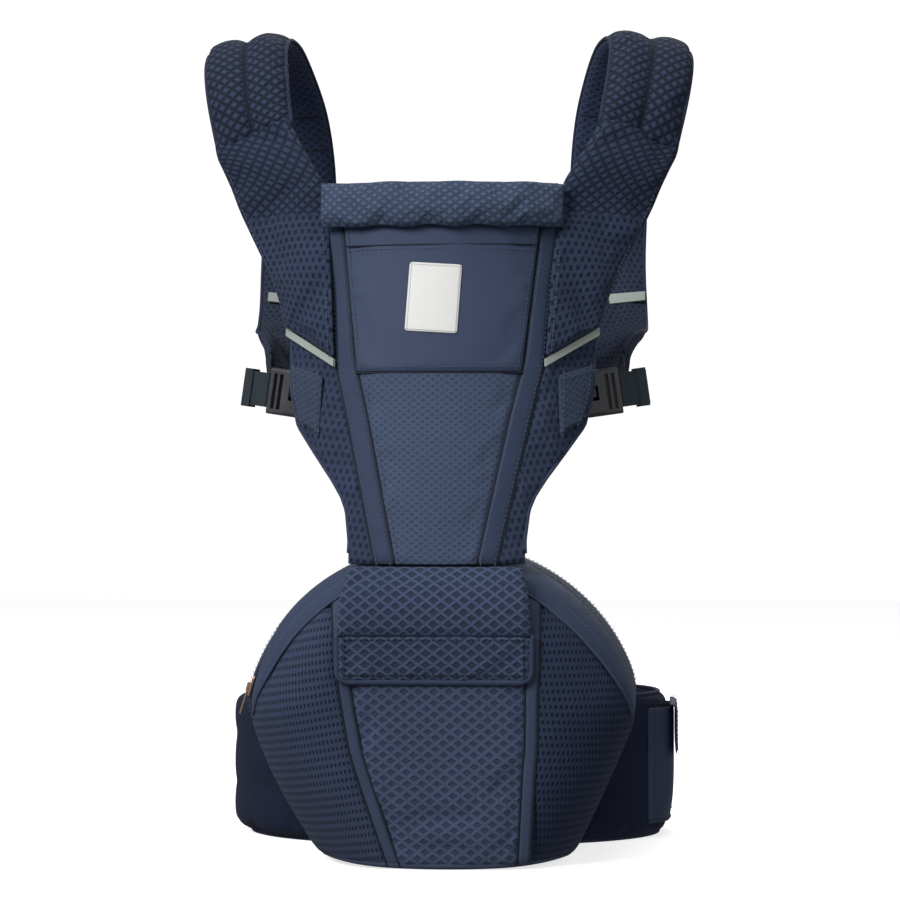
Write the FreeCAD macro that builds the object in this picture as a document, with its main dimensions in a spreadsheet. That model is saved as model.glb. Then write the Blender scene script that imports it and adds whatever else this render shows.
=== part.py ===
import FreeCAD, Part
import math
import os

import Sketcher
from FreeCAD import Placement, Rotation, Vector

# A soft baby carrier with a hip seat, as it is worn. +X is the wearer's left as seen from the front,
# -Y is the front (away from the wearer) and +Z is up. Millimetres.
# The belt's bottom edge and the seat's base lie on Z = 0, and the wearer's body stands in the belt.

# alias, value, meaning
DIMENSIONS = [
    ("belt_half_width", 162, "outside of the belt, side to side"),
    ("belt_half_depth", 110, "outside of the belt, front to back"),
    ("belt_centre_y", 68, "middle of the wearer's waist"),
    ("belt_tall", 109, "height of the belt"),
    ("belt_thick", 14, "padding and both skins"),
    ("belt_skin", 2, "fabric skin of the belt"),
    ("belt_front_half", 100, "where the wings meet the front panel"),
    ("belt_gap_half", 45, "half the gap closed by the waist buckle"),
    ("arch_radius", 143, "outside of the seat's arch"),
    ("arch_centre_z", 80, "centre of the seat's arch"),
    ("shoulder_z", 110, "where the arch ends at the side"),
    ("foot_half", 88, "half width of the seat's base"),
    ("seat_front_y", -178, "front of the seat"),
    ("seat_round", 50, "rounding of the seat's front edge"),
    ("shoulder_round", 45, "rounding where the arch meets the tapered side"),
    ("seat_skin", 3, "cover over the foam core"),
    ("seat_back_y", 30, "how far back the block runs before the belt is cut out of it"),
    ("zipper_y", -112, "plane of the zipper that closes the cover"),
    ("zipper_wide", 8, "width of the zipper"),
    ("zipper_proud", 1.5, "height of the zipper's teeth"),
    ("centre_top_half", 64, "half width of the centre cover at the top"),
    ("centre_mid_half", 57, "half width of the centre cover at mid height"),
    ("centre_foot_half", 40, "half width of the centre cover at the base"),
    ("tape_wide", 7, "seam tape beside the centre cover"),
    ("panel_radius", 160, "curvature of the body panel round the child"),
    ("panel_lean", 13.5, "lean of the body panel towards the wearer, degrees"),
    ("panel_base_y", -169, "outer face of the body panel at its foot"),
    ("panel_base_z", 214, "foot of the body panel"),
    ("panel_top_z", 482, "top edge of the body panel"),
    ("panel_shell", 3, "outer fabric layer"),
    ("lining_thick", 4.8, "padded inner layer"),
    ("layer_gap", 0.3, "between layers"),
    ("pocket_foot_z", 348, "bottom seam of the front pocket"),
    ("pocket_thick", 2, "pocket fabric with its lining"),
    ("label_wide", 38, "sewn label"),
    ("label_tall", 50, "sewn label"),
    ("label_centre_z", 402, "sewn label"),
    ("roll_foot_z", 454, "lower edge of the folded head support"),
    ("roll_thick", 12, "folded head support"),
    ("roll_half", 86, "half width of the head support"),
    ("flap_top_z", 205, "hinge line of the front flap"),
    ("flap_foot_z", 130, "lower edge of the front flap"),
    ("flap_thick", 6, "front flap"),
    ("flap_half", 68, "half width of the front flap"),
    ("strap_thick", 12, "padding of the shoulder strap"),
    ("strap_lining", 2.5, "inner face of the shoulder strap"),
    ("yoke_thick", 8, "quilted yoke between panel and strap"),
    ("side_webbing", 25, "webbing of the shoulder straps"),
    ("waist_webbing", 38, "webbing of the waist belt"),
    ("chest_webbing", 20, "webbing of the chest strap"),
    ("web_thick", 1.6, "thickness of all webbing"),
    ("chest_z", 488, "middle of the chest strap"),
    ("pouch_outer_x", 172, "outer face of the belt's pouch"),
    ("pouch_front_y", 28, "front end of the pouch"),
    ("pouch_back_y", 108, "back end of the pouch"),
    ("pouch_foot_z", 12, "bottom of the pouch"),
    ("pouch_top_z", 98, "mouth of the pouch"),
    ("pouch_wall", 2, "fabric of the pouch"),
    ("pouch_flap_foot_z", 62, "lower edge of the pouch's flap"),
    ("origin_y", -0.55, "moves the origin under the middle of the carrier"),
]

FAR = 400  # longer than the carrier in any direction
RUN_GAP = 0.3  # between two pieces that slide past each other

doc = FreeCAD.newDocument("hip_seat_carrier")
sheet = doc.addObject("Spreadsheet::Sheet", "dims")
nodes = []  # the finished sub-parts, in the order they are made


# ---------------------------------------------------------------- helpers


def fill_sheet():
    for row, (alias, value, meaning) in enumerate(DIMENSIONS, start=1):
        sheet.set(f"A{row}", alias)
        sheet.set(f"B{row}", str(value))
        sheet.set(f"C{row}", meaning)
        sheet.setAlias(f"B{row}", alias)
    doc.recompute()


def dim(alias):
    return float(getattr(sheet, alias))


def bind(obj, **expressions):
    for prop, expression in expressions.items():
        obj.setExpression(prop.replace("__", "."), expression)
    return obj


def node(obj, label):
    """Names a finished sub-part: its label is its file's name."""
    obj.Label = label
    nodes.append(obj)
    return obj


def outline(name, corners, turn=Rotation(Vector(1, 0, 0), 90), at=Vector()):
    """A closed sketch whose corners are bound to expressions. Without a turn it stands in the XZ plane, facing -Y."""
    sketch = doc.addObject("Sketcher::SketchObject", name)
    sketch.Placement = Placement(at, turn)
    count = len(corners)
    # The corners start on a circle and the expressions move them to where they belong.
    points = [Vector(100 * math.cos(math.tau * i / count), 100 * math.sin(math.tau * i / count),
                     0) for i in range(count)]
    for i in range(count):
        sketch.addGeometry(Part.LineSegment(points[i], points[(i + 1) % count]), False)
    for i in range(count):
        sketch.addConstraint(Sketcher.Constraint("Coincident", i, 2, (i + 1) % count, 1))
    for i, (u, v) in enumerate(corners):
        for kind, expression, value in (("DistanceX", u, points[i].x), ("DistanceY", v, points[i].y)):
            constraint = sketch.addConstraint(Sketcher.Constraint(kind, -1, 1, i, 1, value))
            sketch.setExpression(f"Constraints[{constraint}]", expression)
    return sketch


def extrude(name, sketch, forward, back="0"):
    solid = doc.addObject("Part::Extrusion", name)
    solid.Base = sketch
    solid.DirMode = "Normal"
    solid.Solid = True
    return bind(solid, LengthFwd=forward, LengthRev=back)


def box(name, corner, size):
    """A box from its low corner and its size, each three expressions."""
    solid = doc.addObject("Part::Box", name)
    bind(solid, Length=size[0], Width=size[1], Height=size[2])
    return bind(solid, Placement__Base__x=corner[0], Placement__Base__y=corner[1],
                Placement__Base__z=corner[2])


def boolean(kind, name, base, tool):
    solid = doc.addObject(f"Part::{kind}", name)
    solid.Base = base
    solid.Tool = tool
    solid.Refine = False
    return solid


def cut(name, base, tool):
    return boolean("Cut", name, base, tool)


def common(name, base, tool):
    return boolean("Common", name, base, tool)


def group(name, solids):
    """Several solids as one sub-part."""
    joined = doc.addObject("Part::Compound", name)
    joined.Links = solids
    return joined


def fuse(name, solids):
    joined = doc.addObject("Part::MultiFuse", name)
    joined.Shapes = solids
    return joined


def mirrored(name, source):
    """The same piece on the other side of the carrier."""
    solid = doc.addObject("Part::Mirroring", name)
    solid.Source = source
    solid.Normal = Vector(1, 0, 0)
    return solid


def both_sides(right, label):
    """Keeps a right-hand piece and its mirror image as two sub-parts."""
    node(right, f"{label}_right")
    node(mirrored(f"{label}_mirror", right), f"{label}_left")


def upright_ellipse(name, shrink, low, tall):
    """A solid elliptical cylinder, shrunk from the belt's outside by an expression."""
    ellipse = doc.addObject("Part::Ellipse", f"{name}_ellipse")
    bind(ellipse, MajorRadius=f"dims.belt_half_width - ({shrink})",
         MinorRadius=f"dims.belt_half_depth - ({shrink})")
    bind(ellipse, Placement__Base__y="dims.belt_centre_y", Placement__Base__z=low)
    solid = doc.addObject("Part::Extrusion", name)
    solid.Base = ellipse
    solid.DirMode = "Custom"
    solid.Dir = Vector(0, 0, 1)
    solid.Solid = True
    return bind(solid, LengthFwd=tall)


def ribbon(name, stations, thickness, lift=0.0, first=0, last=None, margin=0.0):
    """A padded strap: straight runs between stations. A station is the strap's inner edge, its outer edge and the side it faces."""
    sections = []
    for i, (inner, outer, facing) in enumerate(stations[first:last]):
        across = (outer - inner).normalize()
        normal = (facing - across * facing.dot(across)).normalize()
        along = across.cross(normal)
        section = doc.addObject("Part::Plane", f"{name}_section_{i}")
        section.Length = (outer - inner).Length - 2 * margin
        section.Width = thickness
        turn = Rotation(FreeCAD.Matrix(
            across.x, normal.x, along.x, 0,
            across.y, normal.y, along.y, 0,
            across.z, normal.z, along.z, 0,
            0, 0, 0, 1))
        section.Placement = Placement(inner + across * margin + normal * (lift - thickness / 2), turn)
        sections.append(section)
    loft = doc.addObject("Part::Loft", name)
    loft.Sections = sections
    loft.Solid = True
    loft.Ruled = True
    return loft


# ---------------------------------------------------------------- hip seat


def seat_block(name, skin=None):
    """The seat's full shape: an arch over a tapered base, with a rounded front; less a skin's thickness when one is named."""
    shrink = f"dims.{skin}" if skin else "0"
    gone = dim(skin) if skin else 0.0
    body = doc.addObject("PartDesign::Body", name)
    sketch = body.newObject("Sketcher::SketchObject", f"{name}_outline")
    plane = next(f for f in body.Origin.OriginFeatures if f.Role == "XZ_Plane")
    sketch.AttachmentSupport = [(plane, "")]
    sketch.MapMode = "FlatFace"
    bind(sketch, AttachmentOffset__Base__z="-dims.seat_back_y")

    radius = dim("arch_radius") - gone
    centre = Vector(0, dim("arch_centre_z"), 0)
    rise = dim("shoulder_z") - centre.y
    start = math.asin(rise / radius)
    right_shoulder = Vector(radius * math.cos(start), dim("shoulder_z"), 0)
    left_shoulder = Vector(-right_shoulder.x, right_shoulder.y, 0)
    right_foot = Vector(dim("foot_half") - gone, gone, 0)
    left_foot = Vector(-right_foot.x, gone, 0)
    circle = Part.Circle(centre, Vector(0, 0, 1), radius)
    arch = sketch.addGeometry(Part.ArcOfCircle(circle, start, math.pi - start), False)
    left = sketch.addGeometry(Part.LineSegment(left_shoulder, left_foot), False)
    base = sketch.addGeometry(Part.LineSegment(left_foot, right_foot), False)
    right = sketch.addGeometry(Part.LineSegment(right_foot, right_shoulder), False)
    for first, first_end, second, second_end in ((arch, 2, left, 1), (left, 2, base, 1), (base, 2, right, 1),
                                                 (right, 2, arch, 1)):
        sketch.addConstraint(Sketcher.Constraint("Coincident", first, first_end, second, second_end))
    sketch.addConstraint(Sketcher.Constraint("PointOnObject", arch, 3, -2))
    for kind, element, value, expression in (
        ("Radius", (arch,), radius, f"dims.arch_radius - ({shrink})"),
        ("DistanceY", (-1, 1, arch, 3), centre.y, "dims.arch_centre_z"),
        ("DistanceY", (-1, 1, arch, 1), dim("shoulder_z"), "dims.shoulder_z"),
        ("DistanceY", (-1, 1, arch, 2), dim("shoulder_z"), "dims.shoulder_z"),
        ("DistanceX", (-1, 1, base, 2), right_foot.x, f"dims.foot_half - ({shrink})"),
        ("DistanceX", (-1, 1, base, 1), left_foot.x, f"({shrink}) - dims.foot_half"),
        ("DistanceY", (-1, 1, base, 2), gone, shrink),
        ("DistanceY", (-1, 1, base, 1), gone, shrink),
    ):
        constraint = sketch.addConstraint(Sketcher.Constraint(kind, *element, value))
        sketch.setExpression(f"Constraints[{constraint}]", expression)

    pad = body.newObject("PartDesign::Pad", f"{name}_pad")
    pad.Profile = sketch
    bind(pad, Length=f"dims.seat_back_y - dims.seat_front_y - ({shrink})")
    front_y = dim("seat_front_y") + gone

    def level(z):
        return lambda p: abs(p.z - z) < 0.01

    def at_front(p):
        return abs(p.y - front_y) < 0.01

    shoulder_edges = edges_between(pad, level(dim("shoulder_z")), lambda a, b: at_front(a) == at_front(b))
    corners = rounded(body, f"{name}_shoulders", pad, shoulder_edges, f"dims.shoulder_round - ({shrink})")
    front_edges = edges_between(corners, at_front, lambda a, b: level(gone)(a) and level(gone)(b))
    rounded(body, f"{name}_round", corners, front_edges, f"dims.seat_round - ({shrink})")
    doc.recompute()
    return body


def edges_between(feature, wanted, left_out):
    """The names of a feature's edges with both ends wanted, less those whose pair of ends is left out."""
    doc.recompute()
    names = []
    for i, edge in enumerate(feature.Shape.Edges, start=1):
        first, last = (v.Point for v in edge.Vertexes)
        if wanted(first) and wanted(last) and not left_out(first, last):
            names.append(f"Edge{i}")
    return names


def rounded(body, name, feature, edges, radius):
    fillet = body.newObject("PartDesign::Fillet", name)
    fillet.Base = (feature, edges)
    body.Tip = fillet
    return bind(fillet, Radius=radius)


def hip_seat():
    """A foam core in a zipped cover: front centre and side panels, seam tapes, rim band, gussets, back and base."""
    waist = upright_ellipse("waist", "0", "-10", "300")
    waist_inside_cover = upright_ellipse("waist_cover", "-dims.seat_skin", "-10", "300")
    core = cut("seat_core", seat_block("seat_core_block", "seat_skin"), waist_inside_cover)
    node(core, "seat_foam_core")

    cover = cut("seat_cover", cut("seat_cover_block", seat_block("seat_outside"), waist), core)
    half = "dims.zipper_wide / 2"
    front_space = box("front_space", ("-400", "dims.zipper_y - 400 - " + half, "dims.seat_skin"),
                      ("800", "400", "400"))
    rear_space = box("rear_space", ("-400", "dims.zipper_y + " + half, "dims.seat_skin"),
                     ("800", "400", "400"))
    low_rear = box("low_rear", ("-400", "dims.zipper_y - " + half, "dims.seat_skin"),
                   ("800", "400", "dims.shoulder_z - dims.seat_skin"))
    high_rear = box("high_rear", ("-400", "dims.zipper_y + " + half, "dims.shoulder_z"),
                    ("800", "400", "400"))
    floor_space = box("floor_space", ("-400", "-400", "-1"), ("800", "800", "dims.seat_skin + 1"))
    node(common("seat_base", cover, floor_space), "seat_base_panel")

    belly = cut("belly_wall", waist_inside_cover, waist)
    node(common("seat_back", common("seat_back_part", cover, belly), rear_space), "seat_back_panel")

    shell = cut("seat_shell", cover, belly)
    node(common("rim_band", shell, high_rear), "seat_rim_band")
    gussets = common("gussets", shell, low_rear)
    right_half = box("right_half", ("0", "-400", "-50"), ("400", "800", "800"))
    gusset = common("gusset", gussets, right_half)
    node(group("gusset_pair", [gusset, mirrored("gusset_mirror", gusset)]), "seat_gussets")

    front = common("front_cover", shell, front_space)
    tape_corners = [
        ("dims.centre_foot_half", "-1"), ("dims.centre_foot_half + dims.tape_wide", "-1"),
        ("dims.centre_mid_half + dims.tape_wide", "85"), ("dims.centre_top_half + dims.tape_wide", "140"),
        ("dims.centre_top_half + dims.tape_wide + 2", "250"), ("dims.centre_top_half + 2", "250"),
        ("dims.centre_top_half", "140"), ("dims.centre_mid_half", "85"),
    ]
    tape_prism = extrude("tape_prism", outline("tape_outline", tape_corners), str(FAR))
    centre_corners = [
        ("-dims.centre_foot_half", "-1"), ("dims.centre_foot_half", "-1"), ("dims.centre_mid_half", "85"),
        ("dims.centre_top_half", "140"), ("dims.centre_top_half + 2", "250"),
        ("-dims.centre_top_half - 2", "250"),
        ("-dims.centre_top_half", "140"), ("-dims.centre_mid_half", "85"),
    ]
    centre_prism = extrude("centre_prism", outline("centre_outline", centre_corners), str(FAR))
    node(common("front_centre", front, centre_prism), "seat_cover_centre")
    tape = common("seam_tape", front, tape_prism)
    node(group("seam_tapes", [tape, mirrored("seam_tape_mirror", tape)]), "seat_seam_tapes")
    side_front = common("front_right_half", front, right_half)
    both_sides(cut("front_side", cut("front_side_open", side_front, centre_prism), tape_prism),
               "seat_cover_side")


def arch_ring(name, inner_rise, outer_rise, width, low):
    """Part of a ring round the seat's arch, between two heights over the foam core, above the level low."""
    rings = []
    for which, rise in (("outer", outer_rise), ("inner", inner_rise)):
        ring = doc.addObject("Part::Cylinder", f"{name}_{which}")
        bind(ring, Radius=f"dims.arch_radius - dims.seat_skin + ({rise})", Height=width)
        ring.Placement.Rotation = Rotation(Vector(1, 0, 0), 90)
        bind(ring, Placement__Base__y=f"dims.zipper_y + ({width}) / 2",
             Placement__Base__z="dims.arch_centre_z")
        rings.append(ring)
    above = box(f"{name}_above", ("-400", "-400", low), ("800", "800", "400"))
    return common(name, cut(f"{name}_ring", *rings), above)


ZIPPER_REST = 17  # degrees above level, where the slider waits at the left end of the arch


def zipper():
    """The toothed chain round the arch, its slider, and the pull that hangs from the slider."""
    teeth = arch_ring("zipper_chain_arch", "0", "dims.zipper_proud", "dims.zipper_wide", "dims.shoulder_z")
    node(teeth, "zipper_chain")

    angle = math.radians(180 - ZIPPER_REST)
    top_of_teeth = dim("arch_radius") - dim("seat_skin") + dim("zipper_proud") + RUN_GAP
    along = Vector(math.sin(angle), 0, -math.cos(angle))  # up the arch from its left end
    out = Vector(math.cos(angle), 0, math.sin(angle))
    seat = Vector(0, dim("zipper_y"), dim("arch_centre_z")) + out * top_of_teeth
    turn = Rotation(FreeCAD.Matrix(
        along.x, 0, out.x, 0,
        along.y, 1, out.y, 0,
        along.z, 0, out.z, 0,
        0, 0, 0, 1))
    place = Placement(seat, turn)
    plate = Part.makeBox(11, 7, 1.4, Vector(-5.5, -3.5, 0.2))
    nose = Part.makeCylinder(3.5, 1.4, Vector(5.5, 0, 0.2))
    bridge = Part.makeBox(6.2, 1.2, 2.7, Vector(-2.9, -0.6, 1.6))
    eye = Part.makeCylinder(0.85, 2, Vector(-1.4, -1, 3.0), Vector(0, 1, 0))
    slider = doc.addObject("Part::Feature", "slider_shape")
    slider.Shape = plate.fuse([nose, bridge]).cut(eye).removeSplitter()
    slider.Placement = place
    node(slider, "zipper_slider")

    ring = Part.makeBox(3.4, 4.6, 1.1, Vector(-4.0, -2.3, 2.45))
    window = Part.makeBox(2.9, 2.4, 1.6, Vector(-3.5, -1.2, 2.2))
    pin = Part.makeCylinder(0.5, 4.2, Vector(-1.4, -2.1, 3.0), Vector(0, 1, 0))
    tab = Part.makeBox(14.4, 4.2, 1.1, Vector(-18.2, -2.1, 2.45))
    tip = Part.makeCylinder(2.1, 1.1, Vector(-18.2, 0, 2.45))
    hole = Part.makeCylinder(1.0, 2, Vector(-17.2, 0, 2.0))
    pull = doc.addObject("Part::Feature", "pull_shape")
    side_arms = ring.cut(window)
    clear = Part.makeBox(4.2, 1.9, 3, Vector(-3.1, -0.95, 1.6))
    pull.Shape = tab.fuse([tip, side_arms.cut(clear)]).cut(hole).fuse(pin).removeSplitter()
    pull.Placement = place
    node(pull, "zipper_pull")


def front_flap():
    """The flap that hangs from the panel's foot over the seat's front, with hook tape facing loop tape on the seat."""
    seat_round, thick = dim("seat_round"), dim("flap_thick")
    centre = Vector(0, dim("seat_front_y") + seat_round,
                    dim("arch_centre_z") + dim("arch_radius") - seat_round)
    inner, outer = seat_round + FLAP_CLEAR, seat_round + FLAP_CLEAR + thick
    rise = math.asin((dim("flap_top_z") - centre.z) / (inner + thick / 2))

    def over_seat(radius, angle):
        return centre + Vector(0, -radius * math.cos(angle), radius * math.sin(angle))

    tip = over_seat(inner + thick / 2, rise) + Vector(0, math.sin(rise), math.cos(rise)) * (thick / 2)
    drop = Vector(0, 0, dim("flap_foot_z") - centre.z)
    low_inner, low_outer = over_seat(inner, 0) + drop, over_seat(outer, 0) + drop
    profile = Part.Wire([
        Part.Arc(over_seat(inner, 0), over_seat(inner, rise / 2), over_seat(inner, rise)).toShape(),
        Part.Arc(over_seat(inner, rise), tip, over_seat(outer, rise)).toShape(),
        Part.Arc(over_seat(outer, rise), over_seat(outer, rise / 2), over_seat(outer, 0)).toShape(),
        Part.makeLine(over_seat(outer, 0), low_outer),
        Part.makeLine(low_outer, low_inner),
        Part.makeLine(low_inner, over_seat(inner, 0)),
    ])
    half = dim("flap_half")
    wall = Part.Face(profile)
    wall.translate(Vector(-half, 0, 0))
    slab = doc.addObject("Part::Feature", "flap_slab")
    slab.Shape = wall.extrude(Vector(2 * half, 0, 0))
    corners = [
        ("-dims.flap_half + 5", "dims.flap_foot_z - 1"), ("dims.flap_half - 5", "dims.flap_foot_z - 1"),
        ("dims.flap_half", "dims.flap_foot_z + 5"), ("dims.flap_half", "dims.flap_top_z - 20"),
        ("dims.flap_half - 6", "dims.flap_top_z + 10"), ("-dims.flap_half + 6", "dims.flap_top_z + 10"),
        ("-dims.flap_half", "dims.flap_top_z - 20"), ("-dims.flap_half", "dims.flap_foot_z + 5"),
    ]
    trim = extrude("flap_trim", outline("flap_outline", corners), str(FAR))
    node(common("flap", slab, trim), "front_flap")
    inside = low_inner.y
    hook = box("hook_tape", ("-50", str(inside), "dims.flap_foot_z + 12"), ("100", "0.6", "25"))
    node(hook, "flap_hook_tape")
    loop = box("loop_tape", ("-50", "dims.seat_front_y - 0.7", "dims.flap_foot_z + 10"), ("100", "0.7", "29"))
    node(loop, "seat_loop_tape")


FLAP_CLEAR = 1.6  # room for the hook and loop tapes between flap and seat


# ---------------------------------------------------------------- waist belt


def belt_part(name, corners, label):
    """A padded length of the belt: a skin round a foam strip. corners is its plan, as expressions."""
    plan = outline(f"{name}_plan", corners, Rotation(), Vector())
    inset = [(f"({x}) + ({dx}) * dims.belt_skin", f"({y}) + ({dy}) * dims.belt_skin") for (x, y),
             (dx, dy) in zip(corners, INSETS[name])]
    foam_plan = outline(f"{name}_foam_plan", inset, Rotation(), Vector())
    ring = cut(f"{name}_ring", upright_ellipse(f"{name}_out", "0", "0", "dims.belt_tall"),
               upright_ellipse(f"{name}_in", "dims.belt_thick", "-1", "dims.belt_tall + 2"))
    foam_ring = cut(f"{name}_foam_ring",
                    upright_ellipse(f"{name}_foam_out", "dims.belt_skin", "dims.belt_skin",
                                    "dims.belt_tall - 2 * dims.belt_skin"),
                    upright_ellipse(f"{name}_foam_in", "dims.belt_thick - dims.belt_skin", "-1",
                                    "dims.belt_tall + 2"))
    foam = common(f"{name}_foam", foam_ring, extrude(f"{name}_foam_prism", foam_plan, str(FAR)))
    padded = common(f"{name}_padded", ring, extrude(f"{name}_prism", plan, str(FAR), "10"))
    return cut(f"{name}_skin", padded, foam), foam


INSETS = {
    "wing": [(1, 0), (0, 0), (0, 0), (1, 0), (1, 0), (1, 0)],
    "middle": [(1, 0), (-1, 0), (-1, 0), (1, 0)],
}


def waist_belt():
    front, gap = "dims.belt_front_half", "dims.belt_gap_half"
    wing = [(f"{front} + 0.3", "-100"), ("300", "-100"), ("300", "300"), (gap, "300"),
            (gap, "dims.belt_centre_y"),
            (f"{front} + 0.3", "dims.belt_centre_y")]
    skin, foam = belt_part("wing", wing, "waist_belt")
    both_sides(skin, "waist_belt")
    node(group("wing_foams", [foam, mirrored("wing_foam_mirror", foam)]), "waist_belt_foam")
    middle = [(f"-{front}", "-100"), (front, "-100"), (front, "dims.belt_centre_y"),
              (f"-{front}", "dims.belt_centre_y")]
    skin, foam = belt_part("middle", middle, "belt_front_panel")
    node(skin, "belt_front_panel")
    node(foam, "belt_front_foam")


def belt_pouch():
    """The pouch on the right wing, with a flap that lifts from its inner top edge."""
    y_long = "dims.pouch_back_y - dims.pouch_front_y"
    block = box("pouch_block", ("130", "dims.pouch_front_y", "dims.pouch_foot_z"),
                ("dims.pouch_outer_x - 130", y_long, "dims.pouch_top_z - dims.pouch_foot_z"))
    hugging = upright_ellipse("pouch_back", "-0.3", "-5", "200")
    inside = box("pouch_inside", ("dims.belt_half_width + 0.3 + dims.pouch_wall",
                                  "dims.pouch_front_y + dims.pouch_wall",
                                  "dims.pouch_foot_z + dims.pouch_wall"),
                 ("dims.pouch_outer_x - dims.belt_half_width - 0.3 - 2 * dims.pouch_wall",
                  f"{y_long} - 2 * dims.pouch_wall", "200"))
    node(cut("pouch", cut("pouch_walls", block, hugging), inside), "belt_pouch")
    top = box("pouch_flap_top", ("dims.belt_half_width + 1.5", "dims.pouch_front_y - 1",
                                 "dims.pouch_top_z + 1"),
              ("dims.pouch_outer_x + 2.6 - dims.belt_half_width - 1.5", f"{y_long} + 2", "2.2"))
    drop = box("pouch_flap_drop", ("dims.pouch_outer_x + 0.4", "dims.pouch_front_y - 1",
                                   "dims.pouch_flap_foot_z"),
               ("2.2", f"{y_long} + 2", "dims.pouch_top_z + 3.2 - dims.pouch_flap_foot_z"))
    node(fuse("pouch_flap_bent", [top, drop]), "pouch_flap")


# ---------------------------------------------------------------- body panel


def panel_layer(name, lift, thickness):
    """A curved, leaning layer of the body panel. lift is how far its outer face stands outside the panel's face."""
    shells = []
    for which, radius in (("outer", f"dims.panel_radius + ({lift})"),
                          ("inner", f"dims.panel_radius + ({lift}) - ({thickness})")):
        wall = doc.addObject("Part::Cylinder", f"{name}_{which}")
        bind(wall, Radius=radius, Height=str(2 * FAR))
        lean = math.radians(dim("panel_lean"))
        axis = Vector(0, math.sin(lean), math.cos(lean))
        foot = Vector(0, dim("panel_base_y") + dim("panel_radius") / math.cos(lean), dim("panel_base_z"))
        wall.Placement = Placement(foot - axis * FAR, Rotation(Vector(1, 0, 0), -dim("panel_lean")))
        shells.append(wall)
    return cut(name, *shells)


def panel_piece(name, layer, corners):
    """The part of a layer inside an outline seen from the front."""
    sketch = outline(f"{name}_outline", corners, at=Vector(0, -20, 0))
    return common(name, layer, extrude(f"{name}_prism", sketch, "200"))


# Outer edge of the smooth bands and inner edge of the bands, from the foot up: half width and height.
BAND_OUTER = [("43.5", "dims.panel_base_z"), ("65.5", "315"), ("75.5", "358"), ("79", "410"),
              ("87", "dims.panel_top_z - 4")]
BAND_INNER = [("29", "dims.panel_base_z"), ("50", "315"), ("60.5", "358"), ("66", "410"),
              ("74", "dims.panel_top_z - 4")]
SEAM = 0.15  # half the gap left for a seam between neighbours


def shifted(points, dx):
    return [(f"{x} + ({dx})", z) for x, z in points]


def left_of(points):
    return [(f"-({x})", z) for x, z in points]


def body_panel():
    outer = panel_layer("outer_layer", "0", "dims.panel_shell")
    inner = panel_layer("inner_layer", "-dims.panel_shell - dims.layer_gap", "dims.lining_thick")
    pocket_layer = panel_layer("pocket_layer", "dims.layer_gap + dims.pocket_thick", "dims.pocket_thick")
    label_layer = panel_layer("label_layer", "dims.layer_gap + dims.pocket_thick + 0.8", "0.8")

    wing_edge = [("62.5", "dims.panel_base_z"), ("62", "229"), ("67.5", "250"), ("83", "272"), ("106", "310"),
                 ("110", "335"), ("110", "376"), ("108", "392")]
    top = [("88", "400"), ("86", "dims.panel_top_z - 1")]
    lining = wing_edge + top
    node(panel_piece("lining", inner, lining + left_of(lining)[::-1]), "panel_lining")

    centre = shifted(BAND_INNER, -SEAM)
    node(panel_piece("centre", outer, centre + left_of(centre)[::-1]), "panel_centre")
    band = shifted(BAND_INNER, SEAM) + shifted(BAND_OUTER, -SEAM)[::-1]
    both_sides(panel_piece("band", outer, band), "panel_band")
    wing = shifted(BAND_OUTER[:3], SEAM) + [("78", "392"), *wing_edge[::-1]]
    both_sides(panel_piece("wing", outer, wing), "side_wing")

    pocket = [("58.8", "dims.pocket_foot_z"), ("66", "410"), ("73", "dims.panel_top_z - 8")]
    node(panel_piece("pocket", pocket_layer, pocket + left_of(pocket)[::-1]), "front_pocket")
    label_half = "dims.label_wide / 2"
    low, high = "dims.label_centre_z - dims.label_tall / 2", "dims.label_centre_z + dims.label_tall / 2"
    node(panel_piece("label", label_layer, [(f"-{label_half}", low), (label_half, low), (label_half, high),
                                            (f"-{label_half}", high)]),
         "sewn_label")

    tab_layer = panel_layer("tab_layer", "dims.layer_gap + 2.5", "2.5")
    tab = [("86", "300"), ("104", "312"), ("109", "335"), ("109", "355"), ("84", "350")]
    right_tab = panel_piece("tab", tab_layer, tab)
    node(group("tabs", [right_tab, mirrored("tab_mirror", right_tab)]), "wing_tabs")


def head_support():
    """The padded roll folded down over the panel's top edge."""
    layer = panel_layer("roll_layer", "4 + dims.roll_thick", "dims.roll_thick")
    half = "dims.roll_half"
    corners = [(f"-{half}", "dims.roll_foot_z"), (half, "dims.roll_foot_z"), (half, "dims.panel_top_z + 3"),
               (f"-{half}", "dims.panel_top_z + 3")]
    node(panel_piece("roll", layer, corners), "head_support")


# ---------------------------------------------------------------- shoulder straps


def station(inner, outer, facing):
    return Vector(*inner), Vector(*outer), Vector(*facing)


def centred(centre, across, half, facing):
    middle, side = Vector(*centre), Vector(*across).normalize()
    return middle - side * half, middle + side * half, Vector(*facing)


# The right-hand strap's middle surface. Yoke: from the reflective piping on the wing up to the strap's seam.
YOKE = [
    station((75.5, -122, 358), (113, -89, 381), (0.4, -1, 0.1)),
    station((80, -108, 410), (124, -76, 415), (0.35, -1, 0.2)),
    station((90, -92, 453), (138, -66, 443), (0.3, -1, 0.3)),
    station((94, -82, 478), (154, -56, 476), (0.2, -1, 0.3)),
    station((102, -74, 496), (162, -50, 495), (0.1, -1, 0.3)),
    station((113, -60, 532), (168, -47, 508), (0.1, -1, 0.2)),
]
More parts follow.
